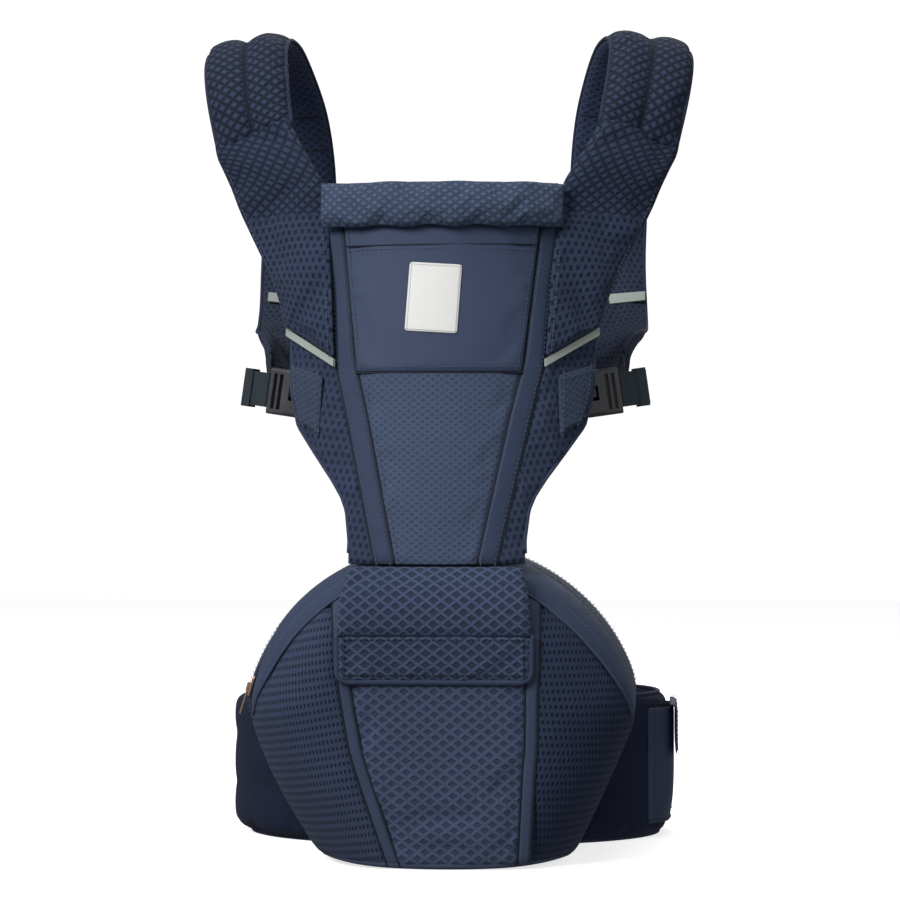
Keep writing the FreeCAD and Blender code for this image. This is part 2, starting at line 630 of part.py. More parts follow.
# Strap: from the seam over the shoulder and down the wearer's back.
ARCH = [
    station((113.2, -59, 534), (168.4, -46, 510), (0.1, -1, 0.2)),
    station((117, -46, 556), (176, -38, 545), (0.1, -1, 0.4)),
    station((120, -30, 578), (180, -26, 572), (0, -1, 0.8)),
    station((121, -12, 594), (181, -10, 589), (0, -0.5, 1)),
    station((118, 12, 603), (179, 14, 597), (0, 0.05, 1)),
    station((111, 40, 597), (172, 42, 592), (0, 0.6, 1)),
    station((103, 68, 577), (165, 70, 573), (0, 1, 0.8)),
    station((96, 88, 550), (157, 90, 547), (0, 1, 0.35)),
    station((92, 101, 515), (151, 103, 513), (0, 1, 0.25)),
    station((91, 111, 472), (148, 111, 474), (0, 1, 0.1)),
]
# Strap end: it leaves the back, turns under the arm and comes forward to the buckle.
END = [
    station((91.3, 111.5, 470), (148.3, 111, 472), (0, 1, 0.1)),
    centred((120, 107, 448), (1, -0.03, 0), 27.5, (0, 1, 0)),
    centred((121, 96, 424), (1, -0.08, 0.03), 26.5, (0.05, 1, -0.35)),
    centred((122, 79, 401), (0.98, -0.12, 0.1), 26, (0.15, 0.85, -0.65)),
    centred((124, 54, 382), (0.93, -0.2, 0.25), 25, (0.35, 0.5, -0.8)),
    centred((127, 26, 370), (0.8, -0.2, 0.5), 24, (0.6, 0.3, -0.75)),
    centred((130, 0, 363), (0.55, -0.2, 0.75), 22, (0.85, 0.15, -0.5)),
    centred((131, -22, 358), (0.25, -0.2, 0.92), 18, (0.97, -0.1, -0.25)),
    centred((131, -38, 352), (-0.05, -0.3, 0.95), 13, (1, -0.4, -0.05)),
]


def shoulder_straps():
    thick, lining = dim("strap_thick"), dim("strap_lining")
    yoke = ribbon("yoke", YOKE, dim("yoke_thick"))
    both_sides(yoke, "shoulder_yoke")
    both_sides(ribbon("strap", ARCH, thick), "shoulder_strap")
    under = -(thick + lining) / 2 - 0.1
    both_sides(ribbon("lining_strap", ARCH, lining, lift=under, margin=2), "strap_lining")
    both_sides(ribbon("strap_end", END, 9), "strap_end")
    piping_line = [station(tuple(a + Vector(0, -0.5, -2.4)), tuple(b + Vector(0, -0.5, -2.4)),
                           tuple(n)) for a, b, n in YOKE[:1]]
    a, b, n = piping_line[0]
    lower = (a + Vector(0, -0.8, -3.6), b + Vector(0, -0.8, -3.6), n)
    piping = ribbon("piping", [(a + Vector(0, 0.8, 2), b + Vector(0, 0.8, 2), n), lower], 2.4)
    node(group("pipings", [piping, mirrored("piping_mirror", piping)]), "reflective_piping")
    band = reflector()
    node(group("reflectors", [band, mirrored("reflector_mirror", band)]), "strap_reflectors")


def between(first, second, share):
    return tuple(a + (b - a) * share for a, b in zip(first, second))


def reflector():
    """The reflective band sewn across the front of the strap's end."""
    top, foot = END[2], END[3]
    stations = [between(top, foot, share) for share in (0.6, 0.95)]
    return ribbon("reflector", stations, 1.2, lift=-(4.5 + 0.6 + 0.1), margin=1)


# ---------------------------------------------------------------- buckles and webbing


def rounded_box(long, wide, tall, corner, radius, axis):
    """A box whose four edges along one axis (0, 1 or 2) are rounded."""
    solid = Part.makeBox(long, wide, tall, corner)
    edges = [e for e in solid.Edges if abs(e.tangentAt(e.FirstParameter)[axis]) > 0.99]
    return solid.makeFillet(radius, edges)


def side_release(width, socket_long, base_long, thick):
    """A side-release buckle: the socket lies along -u and the plug's base along +u from u = 0; u, v and w are X, Y and Z."""
    wall, gap = 2.2, 0.35
    half = width / 2
    socket = rounded_box(socket_long, width, thick, Vector(-socket_long, -half, -thick / 2), thick * 0.28, 0)
    mouth_deep = socket_long - 10
    mouth = Part.makeBox(mouth_deep + 1, width - 2 * wall, thick - 2 * wall,
                         Vector(-mouth_deep, -half + wall, -thick / 2 + wall))
    window_long = mouth_deep * 0.5
    windows = [
        Part.makeBox(window_long, wall + 3, thick - 2 * wall,
                     Vector(-mouth_deep + 2, side, -thick / 2 + wall))
        for side in (-half - 1, half - wall - 2)
    ]
    slot = Part.makeBox(3.2, width - 8, thick + 2, Vector(-socket_long + 3.4, -half + 4, -thick / 2 - 1))
    top_relief = Part.makeBox(9, width * 0.32, wall + 1, Vector(-12, -width * 0.16, thick / 2 - wall - 0.3))
    socket = socket.cut(Part.makeCompound([mouth, slot, top_relief, *windows]))

    blade = thick - 2 * wall - 2 * gap
    base = rounded_box(base_long, width, thick - 2, Vector(0.3, -half, -thick / 2 + 1), 2.0, 0)
    for place in (0.34, 0.68):
        base = base.cut(Part.makeBox(3.0, width - 8, thick + 2,
                                     Vector(0.3 + base_long * place - 1.5, -half + 4, -thick / 2 - 1)))
    reach = mouth_deep - 1.5
    tongue = Part.makeBox(reach, width * 0.16, blade, Vector(-reach + 0.5, -width * 0.08, -blade / 2))
    arms = []
    for side in (-1, 1):
        root = side * (half - wall - gap - 2.6)
        tip = side * (half - wall - gap)
        profile = [
            Vector(0.5, root - side * 1.6, 0), Vector(-reach * 0.55, root - side * 1.6, 0),
            Vector(-reach, tip - side * 4, 0),
            Vector(-reach * 0.95, tip - side * 1.2, 0), Vector(-reach * 0.55, tip, 0),
            Vector(-reach * 0.45, tip - side * 2.2, 0),
            Vector(0.5, tip - side * 2.0, 0),
        ]
        face = Part.Face(Part.makePolygon(profile + profile[:1]))
        face.translate(Vector(0, 0, -blade / 2))
        arms.append(face.extrude(Vector(0, 0, blade)))
    plug = base.fuse([tongue, *arms]).removeSplitter()
    return socket, plug


def placed(shape, name, place):
    feature = doc.addObject("Part::Feature", name)
    feature.Shape = shape
    feature.Placement = place
    return feature


def frame_of(origin, along, up):
    """A placement whose X runs along, whose Y is close to up, and whose Z completes it."""
    x = Vector(*along).normalize()
    y = Vector(*up)
    y = (y - x * y.dot(x)).normalize()
    z = x.cross(y)
    turn = Rotation(FreeCAD.Matrix(x.x, y.x, z.x, 0, x.y, y.y, z.y, 0, x.z, y.z, z.z, 0, 0, 0, 0, 1))
    return Placement(Vector(*origin), turn)


# Where the right-hand side buckle's halves meet, and the way its plug pulls out.
SIDE_BUCKLE_AT = (113, -73.6, 334)
SIDE_BUCKLE_AXIS = (0.88, 0.45, 0.13)


def side_buckles():
    place = frame_of(SIDE_BUCKLE_AT, SIDE_BUCKLE_AXIS, (-0.12, 0, 1))
    socket, plug = side_release(34, 32, 15, 11)
    both_sides(placed(socket, "side_socket", place), "side_buckle_socket")
    both_sides(placed(plug, "side_plug", place), "side_buckle_plug")
    half, thick = dim("side_webbing") / 2, dim("web_thick")
    # The surplus webbing, folded flat outside the plug, and the short length up to the strap's end.
    bundle = rounded_box(22, 2 * half, 4 * thick, Vector(16.2, -half, -1.2 * thick), 0.7, 1)
    keeper = Part.makeBox(7, 2 * half + 3, 4 * thick + 2.4, Vector(30, -half - 1.5, -1.2 * thick - 1.2))
    keeper = keeper.cut(Part.makeBox(9, 2 * half + 0.2, 4 * thick + 0.2,
                                     Vector(29, -half - 0.1, -1.2 * thick - 0.1)))
    surplus = group("side_surplus", [placed(bundle, "side_bundle", place),
                                     placed(keeper, "side_keeper", place)])
    both_sides(surplus, "side_webbing")
    tip_inner, tip_outer, tip_facing = END[-1]
    link = ribbon("side_link", [
        (tip_inner + Vector(0, -1.4, -0.6), tip_outer + Vector(0, -1.4, -0.6), tip_facing),
        centred((131.5, -49.2, 344.5), (-0.1, -0.3, 1), half, (1, -0.5, 0)),
        centred((129.0, -58.2, 338), (-0.12, 0, 1), half, (0.4, -1, 0)),
    ], thick)
    node(group("side_links", [link, mirrored("side_link_mirror", link)]), "strap_end_webbing")


WAIST_BUCKLE_X = 2  # where the waist buckle's halves meet


def waist_buckle():
    """The wide buckle at the wearer's back. Its webbing lies outside the belt's ends; the plug's side runs in a keeper."""
    y = dim("belt_centre_y") + dim("belt_half_depth") + WAIST_BUCKLE_OUT
    place = frame_of((WAIST_BUCKLE_X, y, dim("belt_tall") / 2), (1, 0, 0), (0, 0, 1))
    socket_long, base_long = 36, 18
    socket, plug = side_release(48, socket_long, base_long, 13)
    node(placed(socket, "waist_socket", place), "waist_buckle_socket")
    node(placed(plug, "waist_plug", place), "waist_buckle_plug")

    web_y, web_z = f"{y} - dims.web_thick / 2", "(dims.belt_tall - dims.waist_webbing) / 2"
    left, right = WAIST_BUCKLE_X - socket_long - 0.3, WAIST_BUCKLE_X + base_long + 0.6
    for side, start, end in (("left", -WEB_END_X, left), ("right", right, WEB_END_X)):
        strip = box(f"waist_web_{side}", (str(start), web_y, web_z),
                    (str(end - start), "dims.web_thick", "dims.waist_webbing"))
        node(strip, f"waist_webbing_{side}")

    hugging = upright_ellipse("anchor_back", "-0.3", "-5", "200")
    wide = "dims.waist_webbing + 12"
    anchor_z = "(dims.belt_tall - dims.waist_webbing) / 2 - 6"
    patch = box("anchor_patch", (str(-WEB_END_X), "140", anchor_z), ("20", f"{web_y} - 0.3 - 140", wide))
    block = box("keeper_block", (str(WEB_END_X - 30), "140", anchor_z), ("14", f"{y} + 3.5 - 140", wide))
    slot = box("keeper_slot", ("0", f"{web_y} - 0.5", f"{web_z} - 0.7"),
               ("200", "dims.web_thick + 1", "dims.waist_webbing + 1.4"))
    anchors = [cut("anchor", patch, hugging), cut("keeper", cut("keeper_open", block, slot), hugging)]
    node(group("waist_anchors", anchors), "waist_webbing_anchors")


WAIST_BUCKLE_OUT = 2.2  # the buckle's middle plane, outside the back of the belt
WEB_END_X = 88  # how far round the back the waist webbing reaches


CHEST_LEAN = (0, -0.21, 0.978)  # the way the chest strap slides up the shoulder straps
RAIL_X = 122


def chest_strap():
    """A short strap across the wearer's back that slides on a rail on each shoulder strap."""
    lean = Vector(*CHEST_LEAN)
    face_y = 115.0  # outside of the strap's padding at the height of the chest strap
    at = Vector(0, face_y + 4.2, dim("chest_z"))
    rails, sliders = [], []
    rail_low, rail_high = -19, 40
    half, thick = dim("chest_webbing") / 2, dim("web_thick")
    web_w = -4.6  # the webbing's middle plane, outside the sliders
    for side in (-1, 1):
        place = frame_of((side * RAIL_X, at.y, at.z), (1, 0, 0), tuple(lean))
        strip = Part.makeBox(10, rail_high - rail_low, 1.2, Vector(-5, rail_low, -0.6))
        feet = [Part.makeBox(10, 5, 3.4, Vector(-5, y, 0.6)) for y in (rail_low, rail_high - 5)]
        rails.append(placed(strip.fuse(feet).removeSplitter(), f"rail_{side + 1}", place))
        block = Part.makeBox(18, 2 * half + 4, 10, Vector(-9, -half - 2, -7.6))
        tunnel = Part.makeBox(10.8, 40, 2.0, Vector(-5.4, -20, -1.0))
        slot = Part.makeBox(30, 2 * half + 0.8, thick + 0.8, Vector(-15, -half - 0.4,
                web_w - thick / 2 - 0.4))
        sliders.append(placed(block.cut([tunnel, slot]), f"chest_slider_{side + 1}", place))
    node(group("chest_rails", rails), "chest_strap_rails")
    node(group("chest_sliders", sliders), "chest_strap_sliders")
    place = frame_of((1, at.y, at.z), (1, 0, 0), tuple(lean)) * Placement(Vector(0, 0, web_w), Rotation())
    socket_long, base_long = 26, 13
    socket, plug = side_release(28, socket_long, base_long, 9)
    node(placed(socket, "chest_socket", place), "chest_buckle_socket")
    node(placed(plug, "chest_plug", place), "chest_buckle_plug")
    reach = RAIL_X + 12
    for side, start, end in (("left", -reach - 1, -socket_long - 0.3), ("right", base_long + 0.6, reach - 1)):
        strip = Part.makeBox(end - start, 2 * half, thick, Vector(start, -half, -thick / 2))
        node(placed(strip, f"chest_web_{side}", place), f"chest_webbing_{side}")


# ---------------------------------------------------------------- build and write


def check(objects):
    bad = [o.Name for o in objects if "Invalid" in o.State or "Error" in o.State]
    if bad:
        raise SystemExit(f"failed features: {bad}")


def write():
    os.makedirs("parts", exist_ok=True)
    for obj in nodes:
        shape = obj.Shape
        if shape.isNull() or not shape.isValid() or not shape.Solids:
            raise SystemExit(f"{obj.Label} has no valid solid")
        moved = shape.copy()
        moved.translate(Vector(0, dim("origin_y"), 0))
        moved.exportStep(f"parts/{obj.Label}.step")


def main():
    fill_sheet()
    hip_seat()
    zipper()
    front_flap()
    waist_belt()
    belt_pouch()
    body_panel()
    head_support()
    shoulder_straps()
    side_buckles()
    waist_buckle()
    chest_strap()
    doc.recompute()
    check(doc.Objects)
    write()
    print(f"{len(nodes)} nodes written")


main()
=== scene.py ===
"""A soft baby carrier with a hip seat: the looks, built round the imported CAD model.

Shapes are worked out in millimetres in the carrier's own coordinates (+X right as seen from the front, -Y the front,
+Z up, the seat's base on Z = 0) and turned into the row frame's metres when a mesh is made.
"""
import math

import bpy
import numpy as np
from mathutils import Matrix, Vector


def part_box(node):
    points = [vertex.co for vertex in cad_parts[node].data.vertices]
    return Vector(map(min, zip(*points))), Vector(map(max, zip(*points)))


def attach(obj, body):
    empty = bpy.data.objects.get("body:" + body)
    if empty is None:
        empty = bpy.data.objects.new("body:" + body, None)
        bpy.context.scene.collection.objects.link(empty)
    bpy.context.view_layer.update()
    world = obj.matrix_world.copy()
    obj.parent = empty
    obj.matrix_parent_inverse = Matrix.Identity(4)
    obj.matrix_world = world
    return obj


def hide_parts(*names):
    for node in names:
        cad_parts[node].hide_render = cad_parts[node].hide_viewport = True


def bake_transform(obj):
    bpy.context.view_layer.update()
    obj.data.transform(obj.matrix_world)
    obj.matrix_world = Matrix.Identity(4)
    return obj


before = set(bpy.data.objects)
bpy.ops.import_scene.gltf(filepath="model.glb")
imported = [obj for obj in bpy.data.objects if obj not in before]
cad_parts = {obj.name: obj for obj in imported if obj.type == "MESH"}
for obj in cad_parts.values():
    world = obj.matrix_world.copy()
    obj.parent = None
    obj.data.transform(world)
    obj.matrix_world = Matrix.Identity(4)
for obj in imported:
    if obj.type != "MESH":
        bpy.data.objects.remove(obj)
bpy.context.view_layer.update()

# ---------------------------------------------------------------- driving dimensions, in millimetres

MM = 0.001
SEAT_FRONT_Y = -178.0
SHIFT_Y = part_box("seat_cover_centre")[0][1] / MM - SEAT_FRONT_Y  # the row frame's origin, seen from the carrier's
SEAT_ROUND = 50.0
ARCH_Z, ARCH_R = 80.0, 143.0
SHOULDER_Z, SHOULDER_ROUND = 110.0, 45.0
FOOT_HALF = 88.0
ZIPPER_FRONT, ZIPPER_BACK = -116.0, -108.0
BAND_INSET = 14.0  # how far the smooth band round the arch comes onto the seat's front
BELT_A, BELT_B, BELT_Y = 162.0, 110.0, 68.0
BELT_TALL, BELT_THICK = 109.0, 14.0
PANEL_R, PANEL_LEAN = 160.0, math.radians(13.5)
PANEL_Y, PANEL_FOOT, PANEL_TOP = -169.0, 214.0, 482.0


def row(points):
    """Carrier millimetres to row-frame metres."""
    out = np.array(points, float) * MM
    out[..., 1] += SHIFT_Y * MM
    return out


def table(*pairs):
    """A function through (place, value) pairs."""
    places, values = zip(*pairs)
    return lambda at: np.interp(at, places, values)


def xyz(x, y, z):
    """Points from coordinates: numbers, or arrays that broadcast."""
    return np.stack(np.broadcast_arrays(x, y, z), -1)


def smooth(t):
    t = np.clip(t, 0, 1)
    return t * t * (3 - 2 * t)


def unit(v):
    v = np.asarray(v, float)
    return v / np.maximum(np.linalg.norm(v, axis=-1, keepdims=True), 1e-9)


def run_along(points, axis=0):
    """The distance of every point from the first one of its line."""
    steps = np.linalg.norm(np.diff(points, axis=axis), axis=-1)
    return np.insert(np.cumsum(steps, axis), 0, 0, axis)


# ---------------------------------------------------------------- meshes from grids


def grid_normals(grid):
    du = np.gradient(grid, axis=0)
    dv = np.gradient(grid, axis=1)
    return unit(np.cross(du, dv))


def cloth_coordinates(grid, middle=False):
    """Distances along the cloth in mm: across, along, and to the nearest edge."""
    across, along = run_along(grid, 0), run_along(grid, 1)
    edge = np.minimum(np.minimum(across, across[-1:] - across), np.minimum(along, along[:, -1:] - along))
    if middle:
        across = across - across[-1:] / 2
    return np.stack([across, np.broadcast_to(along.mean(0), along.shape), edge], 2)


def crown(cloth, reach):
    """0 at the edges of a piece and 1 further in than reach, on a quarter circle."""
    t = np.clip(cloth[..., 2] / reach, 0, 1)
    return (1 - (1 - t) ** 2.0) ** 0.5


def make_object(name, verts, faces, look, cloth):
    """A mesh from carrier millimetres, with its cloth coordinates in an attribute that the fabrics read."""
    mesh = bpy.data.meshes.new(name)
    mesh.from_pydata([tuple(v) for v in row(verts)], [], [tuple(int(i) for i in f) for f in faces])
    mesh.validate()
    mesh.shade_smooth()
    mesh.materials.append(MATERIALS[look])
    attribute = mesh.attributes.new("cloth", "FLOAT_VECTOR", "POINT")
    attribute.data.foreach_set("vector", np.asarray(cloth, np.float32).ravel())
    obj = bpy.data.objects.new(name, mesh)
    bpy.context.scene.collection.objects.link(obj)
    return obj


def grid_faces(nu, nv, start, flip):
    i, j = np.meshgrid(np.arange(nu - 1), np.arange(nv - 1), indexing="ij")
    a = start + i * nv + j
    quads = np.stack([a, a + nv, a + nv + 1, a + 1], -1).reshape(-1, 4)
    return quads[:, ::-1] if flip else quads


def shell(name, top, bottom, look, cloth):
    """A closed piece of padded cloth between two matching grids."""
    nu, nv = top.shape[:2]
    outward = np.sum((top - bottom) * grid_normals(top), axis=2).mean() > 0
    count = nu * nv
    border = [(i, 0) for i in range(nu)] + [(nu - 1, j) for j in range(1, nv)]
    border += [(i, nv - 1) for i in range(nu - 2, -1, -1)] + [(0, j) for j in range(nv - 2, 0, -1)]
    ring = np.array([i * nv + j for i, j in border])
    after = np.roll(ring, -1)
    rim = np.stack([ring, ring + count, after + count, after], 1)
    if not outward:
        rim = rim[:, ::-1]
    faces = np.concatenate([grid_faces(nu, nv, 0, not outward), grid_faces(nu, nv, count, outward), rim])
    verts = np.concatenate([top.reshape(-1, 3), bottom.reshape(-1, 3)])
    return make_object(name, verts, faces, look, np.concatenate([cloth.reshape(-1, 3)] * 2))


soft_pieces = []  # (object, how free each vertex is, cap in mm) for the cloth simulation
BACK_FREEDOM = 0.4  # of a pad's back against its front: it lies against the wearer or another piece
FRONT = (0, -1, 0)


def facing(grid, outward):
    """The grid's normals, turned to the side that outward points to."""
    normals = grid_normals(grid)
    return -normals if np.sum(normals * np.asarray(outward, float)) < 0 else normals


def creases(grid, size, deep):
    """Slow soft waves over a piece, about size mm long and deep mm high."""
    k = math.tau / size
    x, y, z = grid[..., 0], grid[..., 1], grid[..., 2]
    wave = np.sin(k * (x + 0.7 * z)) * np.cos(k * 0.61 * (y - 0.9 * x))
    wave += 0.6 * np.sin(k * (1.3 * z - 0.8 * y + 0.4 * x) + 1)
    return deep * wave / 1.6


def pad(name, grid, look, up, down, rim, reach, outward, profile=None, cap=0.0, middle=False, levels=1,
        cloth=None, crease=(40.0, 0.0)):
    """A padded piece round a grid, all in mm.

    up and down are its thickness in front of and behind the grid, and rim is what is left of both at its edges, which
    the crown falls to over reach. profile shapes its front. cap is how far the simulation may move it, and crease is
    the length and height of its soft waves. outward says which side is its front.
    """
    normals = facing(grid, outward)
    if cloth is None:
        cloth = cloth_coordinates(grid, middle)
    full = crown(cloth, reach)
    raised = full if profile is None else full * profile(cloth)
    height = rim / 2 + (up - rim / 2) * raised + creases(grid, *crease) * full
    top = grid + normals * height[..., None]
    bottom = grid - normals * (rim / 2 + (down - rim / 2) * crown(cloth, reach))[..., None]
    obj = shell(name + "_cloth", top, bottom, look, cloth)
    if cap:
        free = smooth(full * 1.4).ravel()
        soft_pieces.append((obj, np.concatenate([free, BACK_FREEDOM * free]), cap))
    if levels:
        subdivision = obj.modifiers.new("Subdivision", "SUBSURF")
        subdivision.levels = subdivision.render_levels = levels
    return obj


def sheet(piece, body, nodes):
    """A finished piece of cloth that rides on a body and stands for those CAD nodes."""
    settle(piece, body, nodes)


def cushion(piece, body, nodes):
    """A finished padded piece that rides on a body and stands for those CAD nodes."""
    settle(piece, body, nodes)


def grid_line(grid, share, lift, outward, turned=False):
    """A line along a grid at that share across it, lifted off it, with its outward directions."""
    normals = facing(grid, outward)
    if turned:
        grid, normals = grid.swapaxes(0, 1), normals.swapaxes(0, 1)
    at = share * (grid.shape[0] - 1)
    i = min(int(at), grid.shape[0] - 2)
    points = grid[i] + (grid[i + 1] - grid[i]) * (at - i)
    return points + normals[i] * lift, normals[i]


def tube(name, points, radius, look, body, sides=8):
    """A round seam, binding or piping along points, riding on a body."""
    points = np.asarray(points, float)
    along = unit(np.gradient(points, axis=0))
    side = np.array([0.0, 0.0, 1.0])
    verts, cloth = [], []
    run = run_along(points)
    for i, (p, t) in enumerate(zip(points, along)):
        side = side - t * side.dot(t)
        if np.linalg.norm(side) < 0.2:
            side = np.cross(t, [1.0, 0.0, 0.0])
        side = side / np.linalg.norm(side)
        up = np.cross(t, side)
        for k in range(sides):
            angle = math.tau * k / sides
            verts.append(p + radius * (math.cos(angle) * side + math.sin(angle) * up))
            cloth.append((radius * angle, run[i], radius))
    n = len(points)
    faces = []
    for i in range(n - 1):
        for k in range(sides):
            a, b = i * sides + k, i * sides + (k + 1) % sides
            faces.append((a, b, b + sides, a + sides))
    faces.append(tuple(range(sides))[::-1])
    faces.append(tuple((n - 1) * sides + k for k in range(sides)))
    settle(make_object(name, verts, faces, look, cloth), body)


def resample(points, step):
    points = np.asarray(points, float)
    run = run_along(points)
    count = max(2, int(round(run[-1] / step)) + 1)
    at = np.linspace(0, run[-1], count)
    return np.stack([np.interp(at, run, points[:, k]) for k in range(points.shape[1])], 1)


def stitches(name, lines, body, look="thread", pitch=3.6, long=2.3, wide=0.55):
    """Rows of thread stitches, riding on a body. Each line is (points, outward direction at each point)."""
    verts, faces = [], []
    for points, normals in lines:
        both = resample(np.concatenate([points, normals], 1), pitch)
        spots, ups = both[:, :3], unit(both[:, 3:])
        along = unit(np.gradient(spots, axis=0))
        for p, t, n in zip(spots, along, ups):
            side = np.cross(t, n)
            base = len(verts)
            for x, w in ((-0.5, 0.3), (-0.3, 1.0), (0.3, 1.0), (0.5, 0.3)):
                lift = 0.45 if abs(x) < 0.4 else 0.05
                verts += [p + t * x * long - side * w * wide / 2, p + t * x * long + n * lift,
                          p + t * x * long + side * w * wide / 2]
            for i in range(3):
                a = base + 3 * i
                faces += [(a, a + 3, a + 4, a + 1), (a + 1, a + 4, a + 5, a + 2)]
    settle(make_object(name, verts, faces, look, np.zeros((len(verts), 3))), body)


def settle(obj, body, nodes=()):
    """The last word on a piece: the body it rides on, and the CAD nodes it stands for."""
    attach(obj, body)
    if nodes:
        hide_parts(*nodes)


SIDES = (("right", 1), ("left", -1))


def sided(points, sign):
    return np.asarray(points, float) * np.array([float(sign), 1.0, 1.0])


# ---------------------------------------------------------------- materials


class Shader:
    """A short way to write a node material: sockets in, sockets out."""

    def __init__(self, name, roughness, **inputs):
        self.material = bpy.data.materials.new(name)
        self.material.use_nodes = True
        self.nodes = self.material.node_tree.nodes
        self.links = self.material.node_tree.links
        self.principled = self.nodes["Principled BSDF"]
        self.principled.inputs["Roughness"].default_value = roughness
        for socket, value in inputs.items():
            self.principled.inputs[socket.replace("_", " ")].default_value = value

    def node(self, kind, settings=None, **inputs):
        made = self.nodes.new(kind)
        for key, value in (settings or {}).items():
            setattr(made, key, value)
        for key, value in inputs.items():
            self.put(made.inputs[key.replace("_", " ")], value)
        return made

    def put(self, socket, value):
        if isinstance(value, bpy.types.NodeSocket):
            self.links.new(value, socket)
        elif value is not None:
            socket.default_value = value

    def math(self, operation, a, b=None, c=None):
        made = self.node("ShaderNodeMath", {"operation": operation})
        for socket, value in zip(made.inputs, (a, b, c)):
            self.put(socket, value)
        return made.outputs[0]

    def mix(self, factor, a, b):
        made = self.node("ShaderNodeMix", {"data_type": "RGBA"})
        for index, value in ((0, factor), (6, a), (7, b)):
            self.put(made.inputs[index], value)
        return made.outputs[2]

    def ramp(self, value, low, high):
        """0 below low, 1 above high, smooth between."""
        made = self.node("ShaderNodeMapRange", {"interpolation_type": "SMOOTHSTEP"})
        for index, v in ((0, value), (1, low), (2, high)):
            self.put(made.inputs[index], v)
        return made.outputs[0]

    def noise(self, scale, detail=3.0):
        made = self.node("ShaderNodeTexNoise", Scale=scale, Detail=detail)
        self.put(made.inputs["Vector"], self.place())
        return made.outputs["Fac"]

    def place(self):
        return self.nodes.new("ShaderNodeTexCoord").outputs["Object"]

    def cloth(self):
        """(across, along, distance to the edge) in mm."""
        attribute = self.node("ShaderNodeAttribute", {"attribute_name": "cloth"})
        parts = self.node("ShaderNodeSeparateXYZ")
        self.links.new(attribute.outputs["Vector"], parts.inputs[0])
        return parts.outputs[0], parts.outputs[1], parts.outputs[2]

    def bump(self, height, distance, after=None, strength=1.0):
        """A bump of so many millimetres."""
        made = self.node("ShaderNodeBump", Strength=strength, Distance=distance * MM, Height=height)
        if after is not None:
            self.links.new(after, made.inputs["Normal"])
        return made.outputs[0]

    def finish(self, colour, normal=None, roughness=None):
        self.put(self.principled.inputs["Base Color"], colour)
        self.put(self.principled.inputs["Normal"], normal)
        self.put(self.principled.inputs["Roughness"], roughness)
        return self.material


def rgba(colour, k):
    return (colour[0] * k, colour[1] * k, colour[2] * k, 1.0)


def tinted(shader, colour, pattern=None, dark=0.35, edges=True):
    """A fabric's colour: slow dye variation, a little wear along the edges, and painted shade where the pattern is
    low: darker in its recesses, holes and grooves.
    """
    base = shader.mix(shader.noise(14.0, 4.0), rgba(colour, 0.88), rgba(colour, 1.13))
    if edges:
        worn = shader.math("MULTIPLY", shader.math("SUBTRACT", 1.0, shader.ramp(shader.cloth()[2], 0.3, 2.6)), 0.3)
        base = shader.mix(worn, base, rgba([c * 0.7 + 0.012 for c in colour], 1.5))
    if pattern is None:
        return base
    # Painted shade: where the pattern is low, the colour falls towards dark times its own.
    return shader.mix(pattern, rgba(colour, dark), base)


def wrinkle_bump(shader, size):
    """Soft creases at the scale of a hand, finer ones along them."""
    wide = shader.bump(shader.noise(11.0, 2.0), 5.0 * size, strength=0.5)
    return shader.bump(shader.noise(48.0, 3.0), 1.1 * size, after=wide, strength=0.5)


def threads(shader, pitch, slant=False):
    """Fine woven threads, pitch mm apart."""
    u, v, _ = shader.cloth()
    if slant:
        u, v = shader.math("ADD", u, v), shader.math("SUBTRACT", u, v)
    su = shader.math("SINE", shader.math("MULTIPLY", u, math.tau / pitch))
    sv = shader.math("SINE", shader.math("MULTIPLY", v, math.tau / pitch))
    return shader.math("MULTIPLY_ADD", shader.math("MULTIPLY", su, sv), 0.5, 0.5)


def lozenges(shader, across, along, low, high, puffed):
    """1 on the light parts of a quilted net: the diagonal ridges, or the puffs between them."""
    u, v, _ = shader.cloth()
    a = shader.math("ADD", shader.math("DIVIDE", u, across), shader.math("DIVIDE", v, along))
    b = shader.math("SUBTRACT", shader.math("DIVIDE", u, across), shader.math("DIVIDE", v, along))
    near = shader.math("MINIMUM", shader.math("PINGPONG", a, 0.5), shader.math("PINGPONG", b, 0.5))
    inside = shader.ramp(near, low, high)
    return inside if puffed else shader.math("SUBTRACT", 1.0, inside)


def slots(shader, pitch, hole, stagger, slant=0.0, soft=0.45):
    """0 in a mesh's holes and 1 on the knit between them; pitch and hole are (across, along) in mm."""
    u, v, _ = shader.cloth()
    u = shader.math("MULTIPLY_ADD", v, slant, u)
    row_number = shader.math("FLOOR", shader.math("MULTIPLY_ADD", v, 1 / pitch[1], 0.5))
    odd = shader.math("MULTIPLY", shader.math("PINGPONG", row_number, 1.0), stagger * pitch[0])
    near_u = shader.math("PINGPONG", shader.math("ADD", u, odd), pitch[0] / 2)
    near_v = shader.math("PINGPONG", v, pitch[1] / 2)
    wide = shader.ramp(near_u, hole[0] / 2 - soft, hole[0] / 2 + soft)
    tall = shader.ramp(near_v, hole[1] / 2 - soft, hole[1] / 2 + soft)
    return shader.math("MAXIMUM", wide, tall)


def smooth_cloth(name, colour, rough=0.7, wrinkle=0.8):
    s = Shader(name, rough, Sheen_Weight=0.04, Sheen_Roughness=0.45, Specular_IOR_Level=0.22)
    weave = threads(s, 0.6)
    normal = s.bump(weave, 0.06, after=wrinkle_bump(s, wrinkle))
    colour_out = s.mix(s.math("MULTIPLY", weave, 0.22), tinted(s, colour), rgba(colour, 1.35))
    return s.finish(colour_out, normal, s.math("MULTIPLY_ADD", s.noise(60.0), 0.16, rough - 0.08))


KNIT_SHARE = 0.22  # of a patterned cloth's light and dark, the fine threads' part


